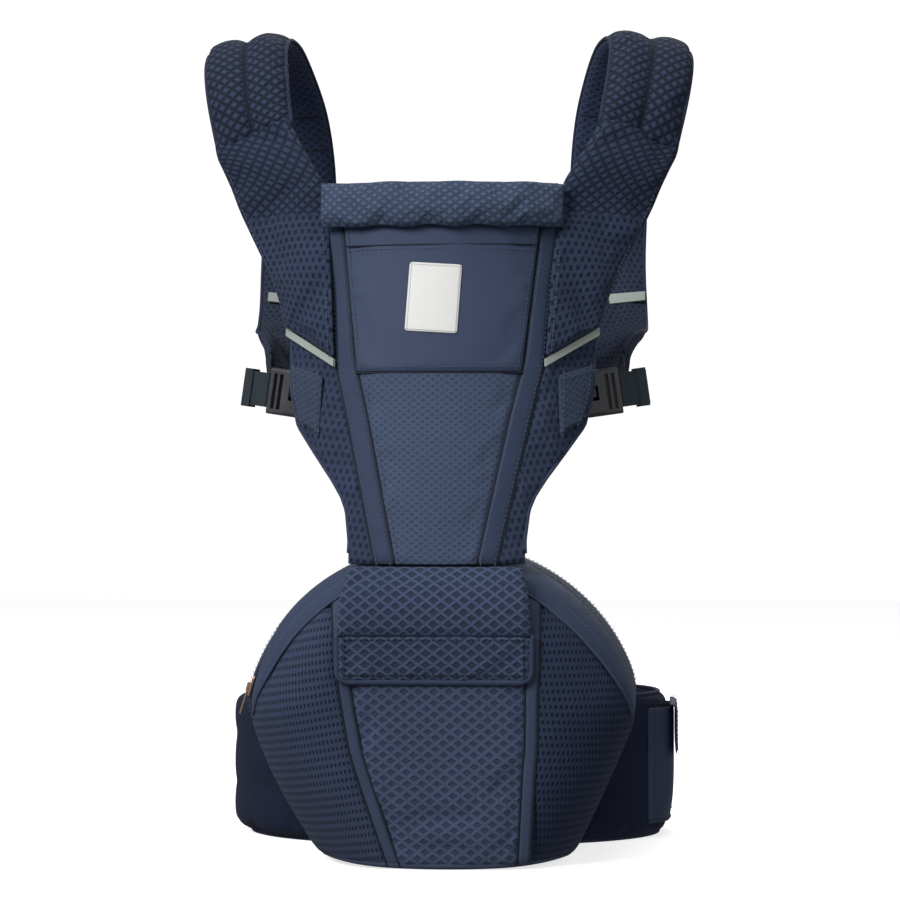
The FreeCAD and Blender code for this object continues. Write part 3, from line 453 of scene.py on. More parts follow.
def patterned_cloth(name, colour, pattern, dark, depth, wrinkle=1.0):
    """A fabric with fine threads over a raised pattern (a function of the shader that is 1 on its light parts); the
    pattern's low parts get painted shade.
    """
    s = Shader(name, 0.82, Sheen_Weight=0.04, Sheen_Roughness=0.5, Specular_IOR_Level=0.15)
    face = pattern(s)
    knit = threads(s, 0.9, slant=True)
    normal = s.bump(knit, 0.1, after=s.bump(face, depth, after=wrinkle_bump(s, wrinkle)))
    shade = s.math("MULTIPLY_ADD", face, 1 - KNIT_SHARE, s.math("MULTIPLY", knit, KNIT_SHARE))
    return s.finish(tinted(s, colour, shade, dark), normal)


def quilt(name, colour, size=(10.5, 8.0), *, dark, window=(0.15, 0.27), depth=0.6, puffed=False, wrinkle=1.0):
    return patterned_cloth(name, colour, lambda s: lozenges(s, *size, *window, puffed), dark, depth, wrinkle)


def strap_pattern(s):
    """Soft scales, parted by the channel sewn down the strap's middle; through the fabric's colour both get painted
    shade, the channel as a dark line.
    """
    channel = s.ramp(s.math("ABSOLUTE", s.cloth()[0]), 0.5, 2.2)
    return s.math("MULTIPLY", lozenges(s, 9.0, 8.0, -0.02, 0.42, True), channel)


def yoke_pattern(s):
    """Slots on the lower part of a yoke, and the strap's puffed scales from there up."""
    low = slots(s, (5.4, 5.7), (2.2, 3.0), 0.5, 0.12, 0.8)
    high = lozenges(s, 9.0, 8.0, -0.02, 0.36, True)
    upper = s.ramp(s.cloth()[1], 96.0, 103.0)
    return s.math("ADD", s.math("MULTIPLY", high, upper), s.math("MULTIPLY", low, s.math("SUBTRACT", 1.0, upper)))


def webbing_cloth(name, colour):
    """Woven webbing: fine ribs that step round each other, the same in every direction."""
    s = Shader(name, 0.6, Sheen_Weight=0.04, Specular_IOR_Level=0.3)
    x, y, z = s.node("ShaderNodeSeparateXYZ", Vector=s.place()).outputs
    flat = s.math("ADD", x, y)
    step = s.math("PINGPONG", flat, 0.0032)
    ribs = s.math("SINE", s.math("MULTIPLY", s.math("ADD", z, step), math.tau / (1.3 * MM)))
    cords = s.math("SINE", s.math("MULTIPLY", flat, math.tau / (0.8 * MM)))
    weave = s.math("MULTIPLY_ADD", s.math("MULTIPLY", ribs, cords), 0.5, 0.5)
    tint = tinted(s, colour, s.math("MULTIPLY_ADD", weave, 0.7, 0.3), 0.4, edges=False)
    return s.finish(tint, s.bump(weave, 0.2, after=s.bump(s.noise(90.0), 0.3)))


def plastic(name, colour, rough=0.42):
    s = Shader(name, rough, Specular_IOR_Level=0.5)
    grain = s.noise(900.0, 2.0)
    marks = s.noise(70.0, 5.0)
    tint = s.mix(s.ramp(marks, 0.35, 0.75), rgba(colour, 0.85), rgba(colour, 1.25))
    return s.finish(tint, s.bump(grain, 0.05), s.math("MULTIPLY_ADD", marks, 0.2, rough - 0.1))


def metal(name, colour):
    s = Shader(name, 0.25, Metallic=1.0)
    marks = s.noise(120.0, 5.0)
    return s.finish(s.mix(marks, rgba(colour, 0.85), rgba(colour, 1.1)), s.bump(marks, 0.04),
                    s.math("MULTIPLY_ADD", marks, 0.25, 0.12))


def reflective(name, colour):
    """Retroreflective ribbon: a fine grain under a satin face."""
    s = Shader(name, 0.4, Specular_IOR_Level=0.5)
    grain = s.noise(1100.0, 2.0)
    tint = s.mix(grain, rgba(colour, 0.8), rgba(colour, 1.15))
    return s.finish(tint, s.bump(grain, 0.05, after=s.bump(s.noise(60.0), 0.6)))


def thread(name, colour):
    s = Shader(name, 0.6, Sheen_Weight=0.05, Specular_IOR_Level=0.25)
    twist = s.noise(1400.0, 2.0)
    return s.finish(s.mix(twist, rgba(colour, 0.7), rgba(colour, 1.2)), s.bump(twist, 0.1))


MATERIALS = {
    "navy": smooth_cloth("navy_twill", (0.032, 0.048, 0.097)),
    "pocket": smooth_cloth("navy_satin", (0.042, 0.060, 0.116), 0.6),
    "band": smooth_cloth("navy_binding", (0.035, 0.051, 0.099)),
    "tape": smooth_cloth("seam_tape", (0.042, 0.060, 0.111)),
    "lining": smooth_cloth("dark_lining", (0.027, 0.038, 0.076), 0.8, wrinkle=1.4),
    "belt": quilt("belt_mesh", (0.014, 0.022, 0.055), (3.4, 2.6), dark=0.55, depth=0.3, wrinkle=1.4),
    "belt_edge": smooth_cloth("belt_binding", (0.018, 0.027, 0.059)),
    "quilt": quilt("seat_quilted_mesh", (0.070, 0.096, 0.177), dark=0.48, window=(0.12, 0.28)),
    "quilt_flap": quilt("flap_quilted_mesh", (0.066, 0.092, 0.174), dark=0.34, window=(0.08, 0.26), depth=0.8),
    "quilt_roll": quilt("roll_quilted_mesh", (0.082, 0.118, 0.204), (7.6, 6.0), dark=0.5, window=(0.1, 0.3),
                        puffed=True),
    "quilt_panel": quilt("panel_fine_mesh", (0.071, 0.101, 0.175), (6.6, 5.2), dark=0.7, depth=0.35, wrinkle=0.8),
    "quilt_tab": quilt("tab_fine_mesh", (0.051, 0.071, 0.124), (6.6, 5.2), dark=0.7, depth=0.35, wrinkle=0.8),
    "strap_under": quilt("strap_under_mesh", (0.044, 0.061, 0.128), (7.6, 6.2), dark=0.45, window=(0.06, 0.3),
                         depth=0.5),
    "scale": patterned_cloth("strap_scaled_mesh", (0.041, 0.058, 0.117), strap_pattern, 0.12, 1.0),
    "yoke": patterned_cloth("yoke_mesh", (0.036, 0.052, 0.106), yoke_pattern, 0.2, 0.8, 1.3),
    "wing": patterned_cloth("wing_mesh", (0.040, 0.056, 0.111),
                            lambda s: slots(s, (5.2, 5.6), (2.1, 3.0), 0.5, 0.12, 0.8), 0.3, 0.6, 1.2),
    "spacer_left": patterned_cloth("side_mesh_left", (0.048, 0.065, 0.126),
                                   lambda s: slots(s, (3.0, 6.0), (1.3, 2.5), 0.0), 0.18, 0.6, 1.2),
    "spacer_right": patterned_cloth("side_mesh_right", (0.027, 0.040, 0.087),
                                    lambda s: slots(s, (3.7, 5.7), (1.7, 2.7), 0.5), 0.18, 0.6, 1.2),
    "end": patterned_cloth("strap_end_mesh", (0.032, 0.044, 0.082),
                           lambda s: slots(s, (4.6, 5.4), (1.8, 2.8), 0.5, 0.0, 0.7), 0.3, 0.6, 1.8),
    "webbing": webbing_cloth("webbing", (0.022, 0.036, 0.05)),
    "plastic": plastic("buckle_plastic", (0.035, 0.037, 0.046)),
    "teeth": plastic("zipper_teeth", (0.025, 0.03, 0.055), 0.35),
    "gold": metal("zipper_metal", (0.84, 0.56, 0.44)),
    "silver": reflective("reflective_tape", (0.36, 0.40, 0.37)),
    "label": smooth_cloth("label_satin", (0.8, 0.8, 0.79), 0.5, wrinkle=0.4),
    "thread": thread("navy_thread", (0.085, 0.108, 0.172)),
    "dark_thread": thread("dark_thread", (0.012, 0.015, 0.028)),
    "white_thread": thread("white_thread", (0.6, 0.6, 0.6)),
    "fuzz": smooth_cloth("loop_tape", (0.014, 0.018, 0.035), 0.95, wrinkle=0.2),
}


# ---------------------------------------------------------------- the seat's surface


def seat_outline():
    """Half of the seat's outline as (x, z), from its foot over the shoulder to the arch's top, and inward normals."""

    def bow(middle, radius, first, last, count):
        turns = np.linspace(first, last, count)[1:]
        return [middle + radius * np.array([math.cos(a), math.sin(a)]) for a in turns]

    foot = np.array([FOOT_HALF, 0.0])
    join = np.array([math.sqrt(ARCH_R**2 - (SHOULDER_Z - ARCH_Z) ** 2), SHOULDER_Z])
    up = unit(join - foot)
    inward = np.array([-up[1], up[0]])
    centre = np.array([0.0, ARCH_Z])
    start = foot + inward * SHOULDER_ROUND - centre
    inner = ARCH_R - SHOULDER_ROUND
    b = start.dot(up)
    run = -b + math.sqrt(b * b - start.dot(start) + inner**2)
    middle = centre + start + up * run
    leave = middle - inward * SHOULDER_ROUND
    first = math.atan2(leave[1] - middle[1], leave[0] - middle[0])
    last = math.atan2(middle[1] - ARCH_Z, middle[0])
    line = [foot + (leave - foot) * k for k in np.linspace(0, 1, 26)]
    corner = bow(middle, SHOULDER_ROUND, first, last, 10)
    arch = bow(centre, ARCH_R, last, math.pi / 2, 50)
    points = resample(np.array(line + corner + arch), 4.0)
    along = unit(np.gradient(points, axis=0))
    return points, np.stack([-along[:, 1], along[:, 0]], 1)


OUTLINE, OUTLINE_IN = seat_outline()
WHOLE_OUTLINE = np.concatenate([resample(OUTLINE, 1.0), resample(OUTLINE, 1.0) * [-1, 1]])


def both_halves(half):
    """The line from the left of the seat over its top to the right, or back, from its right half."""
    return np.concatenate([half, (half * [-1, 1])[::-1][1:]])


def inset(x, z):
    """How far a point of the seat's face lies inside its outline."""
    spots = np.stack([np.ravel(x), np.ravel(z)], 1)
    nearest = np.full(len(spots), 1e9)
    for chunk in np.array_split(np.arange(len(WHOLE_OUTLINE)), 12):
        gap = np.linalg.norm(spots[:, None] - WHOLE_OUTLINE[None, chunk], axis=2).min(1)
        nearest = np.minimum(nearest, gap)
    return nearest.reshape(np.shape(x))


def seat_y(d):
    """The depth of the seat's face where it lies d inside the outline."""
    short = np.clip(SEAT_ROUND - d, 0, SEAT_ROUND)
    return SEAT_FRONT_Y + SEAT_ROUND - np.sqrt(SEAT_ROUND**2 - short**2)


def seat_face(x, z):
    return xyz(x, seat_y(inset(x, z)), z)


centre_half = table((0, 41), (45, 50), (85, 58), (140, 64), (250, 66))
sway = table((0, 12), (70, 5), (130, 1.5), (190, 0))  # the front's seams hang a little towards the pouch side
TAPE = 7.5  # the width of the bound seams


def seat_sag(points):
    """The soft cover's own shape: the corners of its foot draw back and up, and its foot sways to one side."""
    out = np.array(points, float)
    front = np.clip(-out[..., 1] / 150, 0, 1)
    low = np.clip(1 - out[..., 2] / 70, 0, 1)
    wide = np.minimum(np.abs(out[..., 0]) / FOOT_HALF, 1.2)
    out[..., 0] += 5.0 * np.clip(1 - out[..., 2] / 120, 0, 1) * front
    left = np.clip(-out[..., 0] / 140, 0, 1.1) ** 2
    out[..., 0] += 8.0 * left * np.exp(-(((out[..., 2] - 128) / 42) ** 2)) * front
    out[..., 1] += 17.0 * low**2 * wide**3 * front
    out[..., 2] += 5.0 * low**3 * wide**2 * front
    return out


band_inset = table((100, 0), (112, 2.5), (125, 6), (140, 9), (160, 12), (185, BAND_INSET))  # by height


def column_to_arch(x_of):
    """A column of the seat's face: up the front and over the rounding to the band. x_of(z) is the column's place."""
    low, rows_front, rows_round = 1.5, 34, 16
    turn = ARCH_Z + math.sqrt((ARCH_R - SEAT_ROUND) ** 2 - x_of(150) ** 2)
    front = np.linspace(low, turn, rows_front)
    first = math.asin(1 - BAND_INSET / SEAT_ROUND)
    angles = np.linspace(0, first, rows_round + 1)[1:]
    depth = SEAT_ROUND * (1 - np.sin(angles))
    x_top = x_of(200)
    over = ARCH_Z + np.sqrt((ARCH_R - depth) ** 2 - x_top**2)
    z = np.concatenate([front, over])
    x = np.array([x_of(v) for v in z])
    y = np.concatenate([np.full(rows_front, SEAT_FRONT_Y), seat_y(depth)])
    return xyz(x, y, z)


def hip_seat():
    body = "hip_seat"
    centre = np.stack([column_to_arch(lambda z, a=a: a * centre_half(z) + sway(z)) for a in np.linspace(-1, 1, 41)])
    cloth = cloth_coordinates(centre)
    cloth[..., 0] = centre[..., 0]
    cloth[..., 1] = centre[..., 2] + (centre[..., 1] - SEAT_FRONT_Y) * 0.8
    centre = seat_sag(centre)
    piece = pad("seat_cover_centre", centre, "quilt", 2.8, 2.0, 0.8, 12, outward=FRONT, cap=1.2, cloth=cloth)
    sheet(piece, body, ["seat_cover_centre"])

    for side, sign in SIDES:
        tape = np.stack([column_to_arch(lambda z, a=a: sign * (centre_half(z) + a) + sway(z))
                         for a in np.linspace(-1.0, TAPE + 1.0, 7)])
        tape = seat_sag(tape)
        piece = pad(f"seat_seam_tape_{side}", tape, "tape", 2.5, 0.8, 0.8, 2.5, outward=FRONT)
        sheet(piece, body, ["seat_seam_tapes"])
        for k in (0.02, 0.98):
            seam = grid_line(tape, k, 1.5, FRONT)[0]
            tube(f"seat_seam_{side}_{int(k * 100)}", seam, 0.7, "dark_thread", body)
        side_panel(side, sign, body)
    arch_band(body)
    rim_band(body)
    back_and_base(body)
    foot = np.linspace(-FOOT_HALF, FOOT_HALF, 70)
    hem = seat_sag(xyz(foot, seat_y(FOOT_HALF - np.abs(foot)) + 0.6, 2.6))
    tube("seat_foot_hem", hem, 2.4, "tape", body, sides=10)
    zipper_teeth(body)


def side_panel(side, sign, body):
    stop = next(i for i, (x, z) in enumerate(OUTLINE) if z > 150 and x < centre_half(200) + TAPE + 12)
    outer = OUTLINE[:stop]
    back_in = band_inset(outer[:, 1])
    edge = outer + OUTLINE_IN[:stop] * back_in[:, None]
    z_in = np.linspace(1.5, edge[-1, 1] - 3, stop)
    inner = np.stack([centre_half(z_in) + TAPE + sign * sway(z_in), z_in], 1)
    share = np.linspace(0, 1, 30) ** 1.4
    face = edge[None] + (inner - edge)[None] * share[:, None, None]
    grid = seat_face(face[..., 0], face[..., 1])
    behind = []
    for k in (1.0, 0.66, 0.33):
        further = grid[0].copy()
        further[:, 1] += k * 12.0 * (1 - smooth((outer[:, 1] - 112) / 30))
        behind.append(further)
    grid = seat_sag(sided(np.concatenate([np.stack(behind), grid]), sign))
    cloth = cloth_coordinates(grid)
    z = grid[..., 2]
    cloth[..., 0] = np.abs(grid[..., 0]) + (grid[..., 1] - SEAT_FRONT_Y) * 0.8 - 0.16 * z
    cloth[..., 1] = z * (1 + 0.0009 * np.abs(grid[..., 0])) - 0.10 * grid[..., 0]
    piece = pad(f"seat_cover_side_{side}", grid, f"spacer_{side}", 3.4, 1.6, 0.8, 18, outward=FRONT, cap=1.6,
                cloth=cloth)
    sheet(piece, body, [f"seat_cover_side_{side}"])


def arch_band(body):
    """The smooth flap that covers the zipper: from the front panels over the arch, its front edge hemmed and free."""
    keep = OUTLINE[:, 1] > 104
    points, normals = both_halves(OUTLINE[keep]), both_halves(OUTLINE_IN[keep])
    start_in = band_inset(points[:, 1]) + 1.5
    proud = 1.0 + 2.2 * np.clip((190 - points[:, 1]) / 60, 0, 1)  # it stands off where the zipper comes out
    rows_out = []
    for k in np.linspace(0, 1, 9):
        first = np.arcsin(np.clip(1 - start_in / SEAT_ROUND, 0, 1))
        angle = first + (math.pi / 2 - first) * k
        depth = SEAT_ROUND * (1 - np.sin(angle)) - proud * (1 - k) * 0.4
        flat = points + normals * depth[:, None]
        y = SEAT_FRONT_Y + SEAT_ROUND * (1 - np.cos(angle)) - proud * (1 - k)
        rows_out.append(xyz(flat[:, 0], y, flat[:, 1]))
    for y in (-124, -120, ZIPPER_FRONT):
        back = rows_out[8].copy()
        back[:, 1] = y
        rows_out.append(back)
    grid = seat_sag(np.stack(rows_out))
    piece = pad("seat_arch_band", grid, "band", 2.6, 0.2, 0.8, 4, outward=(0, -0.3, 1))
    sheet(piece, body, ["seat_rim_band"])
    hem = grid[0] + facing(grid, (0, -0.3, 1))[0] * 1.5
    tube("seat_arch_hem", hem, 1.25, "tape", body)
    stitches("seat_arch_stitches", [grid_line(grid, 0.2, 2.5, (0, -0.3, 1))], body)


def belt_y(x, grow):
    """The belt's front wall at x, grown outwards."""
    a, b = BELT_A + grow, BELT_B + grow
    return BELT_Y - b * np.sqrt(np.clip(1 - (np.asarray(x) / a) ** 2, 0, 1))


def rim_band(body):
    """The smooth band behind the zipper, from shoulder to shoulder, back to the wearer's belly."""
    x, z = both_halves(OUTLINE[OUTLINE[:, 1] > 100]).T
    back = belt_y(x, 1.0)
    grid = np.stack([xyz(x, ZIPPER_BACK + (back - ZIPPER_BACK) * k, z) for k in np.linspace(0, 1, 16)])
    piece = pad("seat_top_band", grid, "navy", 2.5, 1.5, 0.8, 8, outward=(0, 0, 1))
    sheet(piece, body, [])
    stitches("seat_top_stitches", [grid_line(grid, k, 2.5, (0, 0, 1)) for k in (0.06, 0.94)], body)
    keep, under = OUTLINE[:, 1] < 108, 0.08  # the gusset's front edge lies under the side cover by that share
    low, low_in = OUTLINE[keep], OUTLINE_IN[keep]
    back = belt_y(low[:, 0], 1.0)
    for side, sign in SIDES:
        rows_out = []
        for k in np.linspace(-under, 1, 20):
            x, z = (low + low_in * 2.0 * min(max(-k / under, 0), 1)).T
            rows_out.append(xyz(x, ZIPPER_FRONT + (back - ZIPPER_FRONT) * k, z))
        grid = seat_sag(sided(np.stack(rows_out), sign))
        piece = pad(f"seat_gusset_{side}", grid, "spacer_right", 2.2, 1.6, 0.8, 10, outward=(sign, 0, 0))
        sheet(piece, body, ["seat_gussets"])


def zipper_teeth(body):
    """Two rows of teeth on their tapes, round the arch from shoulder to shoulder."""
    top, middle_y = ARCH_R - 1.6, (ZIPPER_FRONT + ZIPPER_BACK) / 2
    low = math.asin((SHOULDER_Z - ARCH_Z) / top)
    keep = OUTLINE[:, 1] > SHOULDER_Z - 14  # the tape runs on below the zipper's ends, inside the gusset
    inner = OUTLINE[keep] + OUTLINE_IN[keep] * (1.6 + 1.4 * smooth((SHOULDER_Z - OUTLINE[keep][:, 1]) / 8))[:, None]
    x, z = resample(both_halves(inner), 4.0).T
    tape = np.stack([xyz(x, middle_y + v, z) for v in np.linspace(-5.2, 5.2, 7)])
    piece = pad("zipper_tape", tape, "belt", 0.6, 0.6, 0.8, 1, outward=(0, 0, 1))
    sheet(piece, body, ["zipper_chain"])
    verts, faces = [], []
    for i, angle in enumerate(np.linspace(low + 0.01, math.pi - low - 0.01, 200)):
        out = np.array([math.cos(angle), 0, math.sin(angle)])
        run = np.array([-math.sin(angle), 0, math.cos(angle)])
        middle = np.array([0, middle_y + (0.7 if i % 2 else -0.7), ARCH_Z]) + out * (top + 0.9)
        base = len(verts)
        for w, grow in ((-0.5, 1.0), (0.35, 1.0), (0.6, 0.6)):
            for u, v in ((-0.55, -1.5), (0.55, -1.5), (0.55, 1.5), (-0.55, 1.5)):
                verts.append(middle + run * u * grow + np.array([0, v * grow, 0]) + out * w)
        faces.append((base + 8, base + 9, base + 10, base + 11))
        for layer in (0, 4):
            for k in range(4):
                a, b = base + layer + k, base + layer + (k + 1) % 4
                faces.append((a, b, b + 4, a + 4))
    settle(make_object("zipper_teeth", verts, faces, "teeth", np.zeros((len(verts), 3))), body)


def back_and_base(body):
    half, wider, higher = 128, 44.8, 110  # up to its shoulders the seat is that much wider than at its foot
    x = np.linspace(-half, half, 45)
    rows_out = []
    for k in np.linspace(0, 1, 30):
        top = ARCH_Z + np.sqrt(np.clip((ARCH_R - 2) ** 2 - x**2, 0, None))
        low = np.where(np.abs(x) > FOOT_HALF, (np.abs(x) - FOOT_HALF) * higher / wider, 1.5)
        z = low + (top - low) * k
        rows_out.append(xyz(x, belt_y(x, 1.6), z))
    grid = np.stack(rows_out)
    piece = pad("seat_back_panel", grid, "lining", 1.4, 1.4, 0.8, 6, outward=(0, 1, 0), middle=True)
    sheet(piece, body, ["seat_back_panel"])
    x = np.linspace(-FOOT_HALF + 1, FOOT_HALF - 1, 33)
    rows_out = []
    for k in np.linspace(0, 1, 24):
        front = seat_y(np.maximum(FOOT_HALF - np.abs(x), 0)) + 0.5
        y = front + (belt_y(x, 1.5) - front) * k
        rows_out.append(xyz(x, y, 1.6))
    grid = seat_sag(np.stack(rows_out)) - [0, 0, 0.4]
    piece = pad("seat_base_panel", grid, "lining", 1.5, 1.2, 0.8, 6, outward=(0, 0, -1))
    sheet(piece, body, ["seat_base_panel", "seat_foam_core"])


# ---------------------------------------------------------------- body panel


def panel_xyz(x, z, lift=0.0):
    """A point of the curved, leaning panel seen from the front at (x, z), that far outside its outer face."""
    x, z, lift = np.broadcast_arrays(np.asarray(x, float), np.asarray(z, float), np.asarray(lift, float))
    radius = PANEL_R + lift
    reach = -np.sqrt(np.clip(radius**2 - x**2, 1, None))
    foot_y = PANEL_Y + PANEL_R / math.cos(PANEL_LEAN)
    y = foot_y + (reach + (z - PANEL_FOOT) * math.sin(PANEL_LEAN)) / math.cos(PANEL_LEAN)
    return xyz(x, y, z)


def patch(left, right, bottom, top, nu, nv, lift):
    """A grid on the panel: left and right are tables over height; bottom and top are tables over the share across."""
    u, v = np.meshgrid(np.linspace(0, 1, nu), np.linspace(0, 1, nv), indexing="ij")
    z = bottom(u) + (top(u) - bottom(u)) * v
    x = left(z) + (right(z) - left(z)) * u
    return panel_xyz(x, z, lift)


def level(value):
    return lambda at: np.full(np.shape(at), float(value))


def panel_line(points, lift):
    """A line on the panel through (x, z) points, with its outward directions."""
    flat = resample(points, 2.0)
    on = panel_xyz(flat[:, 0], flat[:, 1], lift)
    return on, unit(on - panel_xyz(flat[:, 0], flat[:, 1], lift - 1))


band_inner = table((PANEL_FOOT, 29), (315, 50), (358, 60.5), (410, 66), (478, 74))
band_outer = table((PANEL_FOOT, 43.5), (315, 65.5), (358, 75.5), (410, 79), (478, 87))
wing_edge = table((PANEL_FOOT, 62.5), (229, 62), (250, 64.5), (260, 68.5), (272, 76), (290, 89), (310, 103),
                  (335, 109), (376, 110), (392, 108))
PIPING_LOW, PIPING_HIGH = 358.0, 381.0


def body_panel():
    body = "body_panel"
    low = PANEL_FOOT - 2
    grid = patch(lambda z: -band_inner(z), band_inner, level(low), level(476), 29, 56, -1.2)
    piece = pad("panel_centre", grid, "quilt_panel", 1.8, 1.4, 0.8, 7, outward=FRONT, middle=True, cap=0.9)
    sheet(piece, body, ["panel_centre"])
    for side, sign in SIDES:
        grid = sided(patch(band_inner, band_outer, level(low), level(478), 8, 60, -0.9), sign)
        piece = pad(f"panel_band_{side}", grid, "band", 2.4, 1.2, 0.8, 4, outward=FRONT)
        sheet(piece, body, [f"panel_band_{side}"])
        stitches(f"panel_band_stitches_{side}", [grid_line(grid, k, 2.3, FRONT) for k in (0.16, 0.84)], body)
        for k in (0, -1):
            seam = grid[k] + facing(grid, FRONT)[k] * 0.6
            tube(f"panel_seam_{side}_{-k}", seam, 0.75, "dark_thread", body)
        heights = np.linspace(low + 6, 346, 40)
        lines = [panel_line(np.stack([sign * (band_inner(heights) - 3.2), heights], 1), 0.75)]
        stitches(f"panel_edge_stitches_{side}", lines, body)
        wing(side, sign, body)
    lining(body)
    pocket(body)
    label(body)
    head_support()


def wing(side, sign, body):
    top = table((0, PIPING_LOW), (1, PIPING_HIGH + 2))
    grid = sided(patch(band_outer, wing_edge, level(PANEL_FOOT - 2), top, 18, 44, -1.2), sign)
    cloth = cloth_coordinates(grid)
    cloth[..., 0] = np.abs(grid[..., 0]) * 1.12
    cloth[..., 1] = grid[..., 2] - 0.12 * np.abs(grid[..., 0])
    piece = pad(f"side_wing_{side}", grid, "wing", 2.6, 1.6, 0.8, 8, outward=FRONT, cap=1.1, cloth=cloth,
                crease=(52.0, 0.5))
    sheet(piece, body, [f"side_wing_{side}"])
    tube(f"wing_piping_{side}", grid[-1, 2:-2], 1.4, "band", body)
    # The tab over the buckle's webbing.
    tab_left, tab_right = table((300, 86), (350, 84)), table((298, 91), (312, 101), (335, 108.5), (352, 110))
    tab = sided(patch(tab_left, tab_right, table((0, 301), (1, 312)), table((0, 346), (1, 354)), 8, 14, 2.6), sign)
    piece = pad(f"wing_tab_{side}", tab, "quilt_tab", 1.6, 1.2, 0.8, 4, outward=FRONT)
    sheet(piece, body, ["wing_tabs"])
    rim = [grid_line(tab, k, 1.7, FRONT) for k in (0.14, 0.86)]
    rim += [grid_line(tab, k, 1.7, FRONT, turned=True) for k in (0.1, 0.9)]
    stitches(f"wing_tab_stitches_{side}", rim, body)


def lining_half(z):
    return np.where(z < 392, wing_edge(z) - 0.8, table((392, 108), (402, 88), (482, 85))(z))


def lining(body):
    grid = patch(lambda z: -lining_half(z), lining_half, level(PANEL_FOOT - 1), level(PANEL_TOP), 45, 60, -6.0)

    def quilted(cloth):
        return 0.72 + 0.28 * np.abs(np.sin(cloth[..., 1] / 42 * math.pi)) ** 0.5

    piece = pad("panel_lining", grid, "lining", 2.4, 2.6, 1.2, 8, profile=quilted, outward=(0, 1, 0), middle=True)
    sheet(piece, body, ["panel_lining"])
    lines = [grid_line(grid, k * 42 / 268, 1.6, (0, 1, 0), turned=True) for k in range(1, 6)]
    stitches("lining_stitches", lines, body, "dark_thread")


pocket_half = table((348, 58.8), (410, 66), (474, 73))


def pocket(body):
    grid = patch(lambda z: -pocket_half(z), pocket_half, level(348), level(472), 29, 32, 1.6)
    piece = pad("front_pocket", grid, "pocket", 1.8, 0.9, 0.8, 5, outward=FRONT, middle=True, cap=0.7,
                crease=(75.0, 0.5))
    sheet(piece, body, ["front_pocket"])
    heights = np.linspace(352, 470, 60)
    lines = [panel_line([(-pocket_half(350) + 4, 351.4), (pocket_half(350) - 4, 351.4)], 3.4),
             panel_line([(-pocket_half(437) + 2, 436.5), (pocket_half(437) - 2, 436.5)], 4.3)]
    lines += [panel_line(np.stack([sign * (pocket_half(heights) - 2.6), heights], 1), 3.3) for sign in (1, -1)]
    stitches("pocket_stitches", lines, body)
    hem = panel_line([(-pocket_half(439) + 1, 439), (pocket_half(439) - 1, 440)], 3.9)[0]
    tube("pocket_hem_seam", hem, 0.6, "dark_thread", body)
    seam = panel_line([(-pocket_half(348) - 0.5, 347.4), (pocket_half(348) + 0.5, 347.4)], 0.9)[0]
    tube("pocket_seam", seam, 0.9, "dark_thread", body)


def label(body):
    high, wide, x0, z0, tilt = 50.0, 38.0, -4.0, 401.0, math.radians(-3.5)

    def turned(u, v):
        return x0 + u * math.cos(tilt) - v * math.sin(tilt), z0 + u * math.sin(tilt) + v * math.cos(tilt)

    u, v = np.meshgrid(np.linspace(-wide / 2, wide / 2, 12), np.linspace(-high / 2, high / 2, 14), indexing="ij")
    grid = panel_xyz(*turned(u, v), 4.7)
    piece = pad("sewn_label", grid, "label", 0.5, 0.4, 0.5, 2, outward=FRONT)
    sheet(piece, body, ["sewn_label"])
    a, b = wide / 2 - 1.6, high / 2 - 1.6
    corners = [np.array(turned(x, z)) for x, z in ((-a, -b), (a, -b), (a, b), (-a, b), (-a, -b))]
    lines = [panel_line([p, q], 5.3) for p, q in zip(corners, corners[1:])]
    stitches("label_stitches", lines, body, "white_thread", 2.2, 1.6, 0.4)


def head_support():
    low, high = 453.0, PANEL_TOP + 3
    half = table((low, 87), (high, 88))
    grid = patch(lambda z: -half(z), half, lambda u: low + 1.0 * np.sin(u * 31) * np.sin(u * math.pi),
                 lambda u: high + 0.5 * np.sin(u * 23 + 1), 57, 14, 10.0)
    cloth = cloth_coordinates(grid, True)
    piece = pad("head_support", grid, "quilt_roll", 6.4, 5.4, 1.5, 13, outward=FRONT, cap=2, cloth=cloth,
                crease=(34.0, 0.3))
    cushion(piece, "head_support", ["head_support"])
    # The cloth between the panel's top and the roll, made in its folded-away place; nothing moves it when the roll
    # flips up.
    x, k = np.meshgrid(np.linspace(-84, 84, 43), np.linspace(0, 1, 9), indexing="ij")
    web = panel_xyz(x, PANEL_TOP - 3.5 + 6.0 * k, -5.0 + 14.5 * k)
    piece = pad("head_support_web", web, "navy", 0.7, 0.7, 0.8, 2, outward=(0, 0, 1), levels=0)
    tuple(row((0, 0, PANEL_TOP - 3)))
    tuple(row((0, 0, PANEL_TOP + 2)))
    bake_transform(piece)
    seam = grid_line(grid, 0.03, 0.4, (0, 0, -1), turned=True)[0]
    tube("roll_seam", seam, 1.1, "band", "head_support")


# ---------------------------------------------------------------- front flap


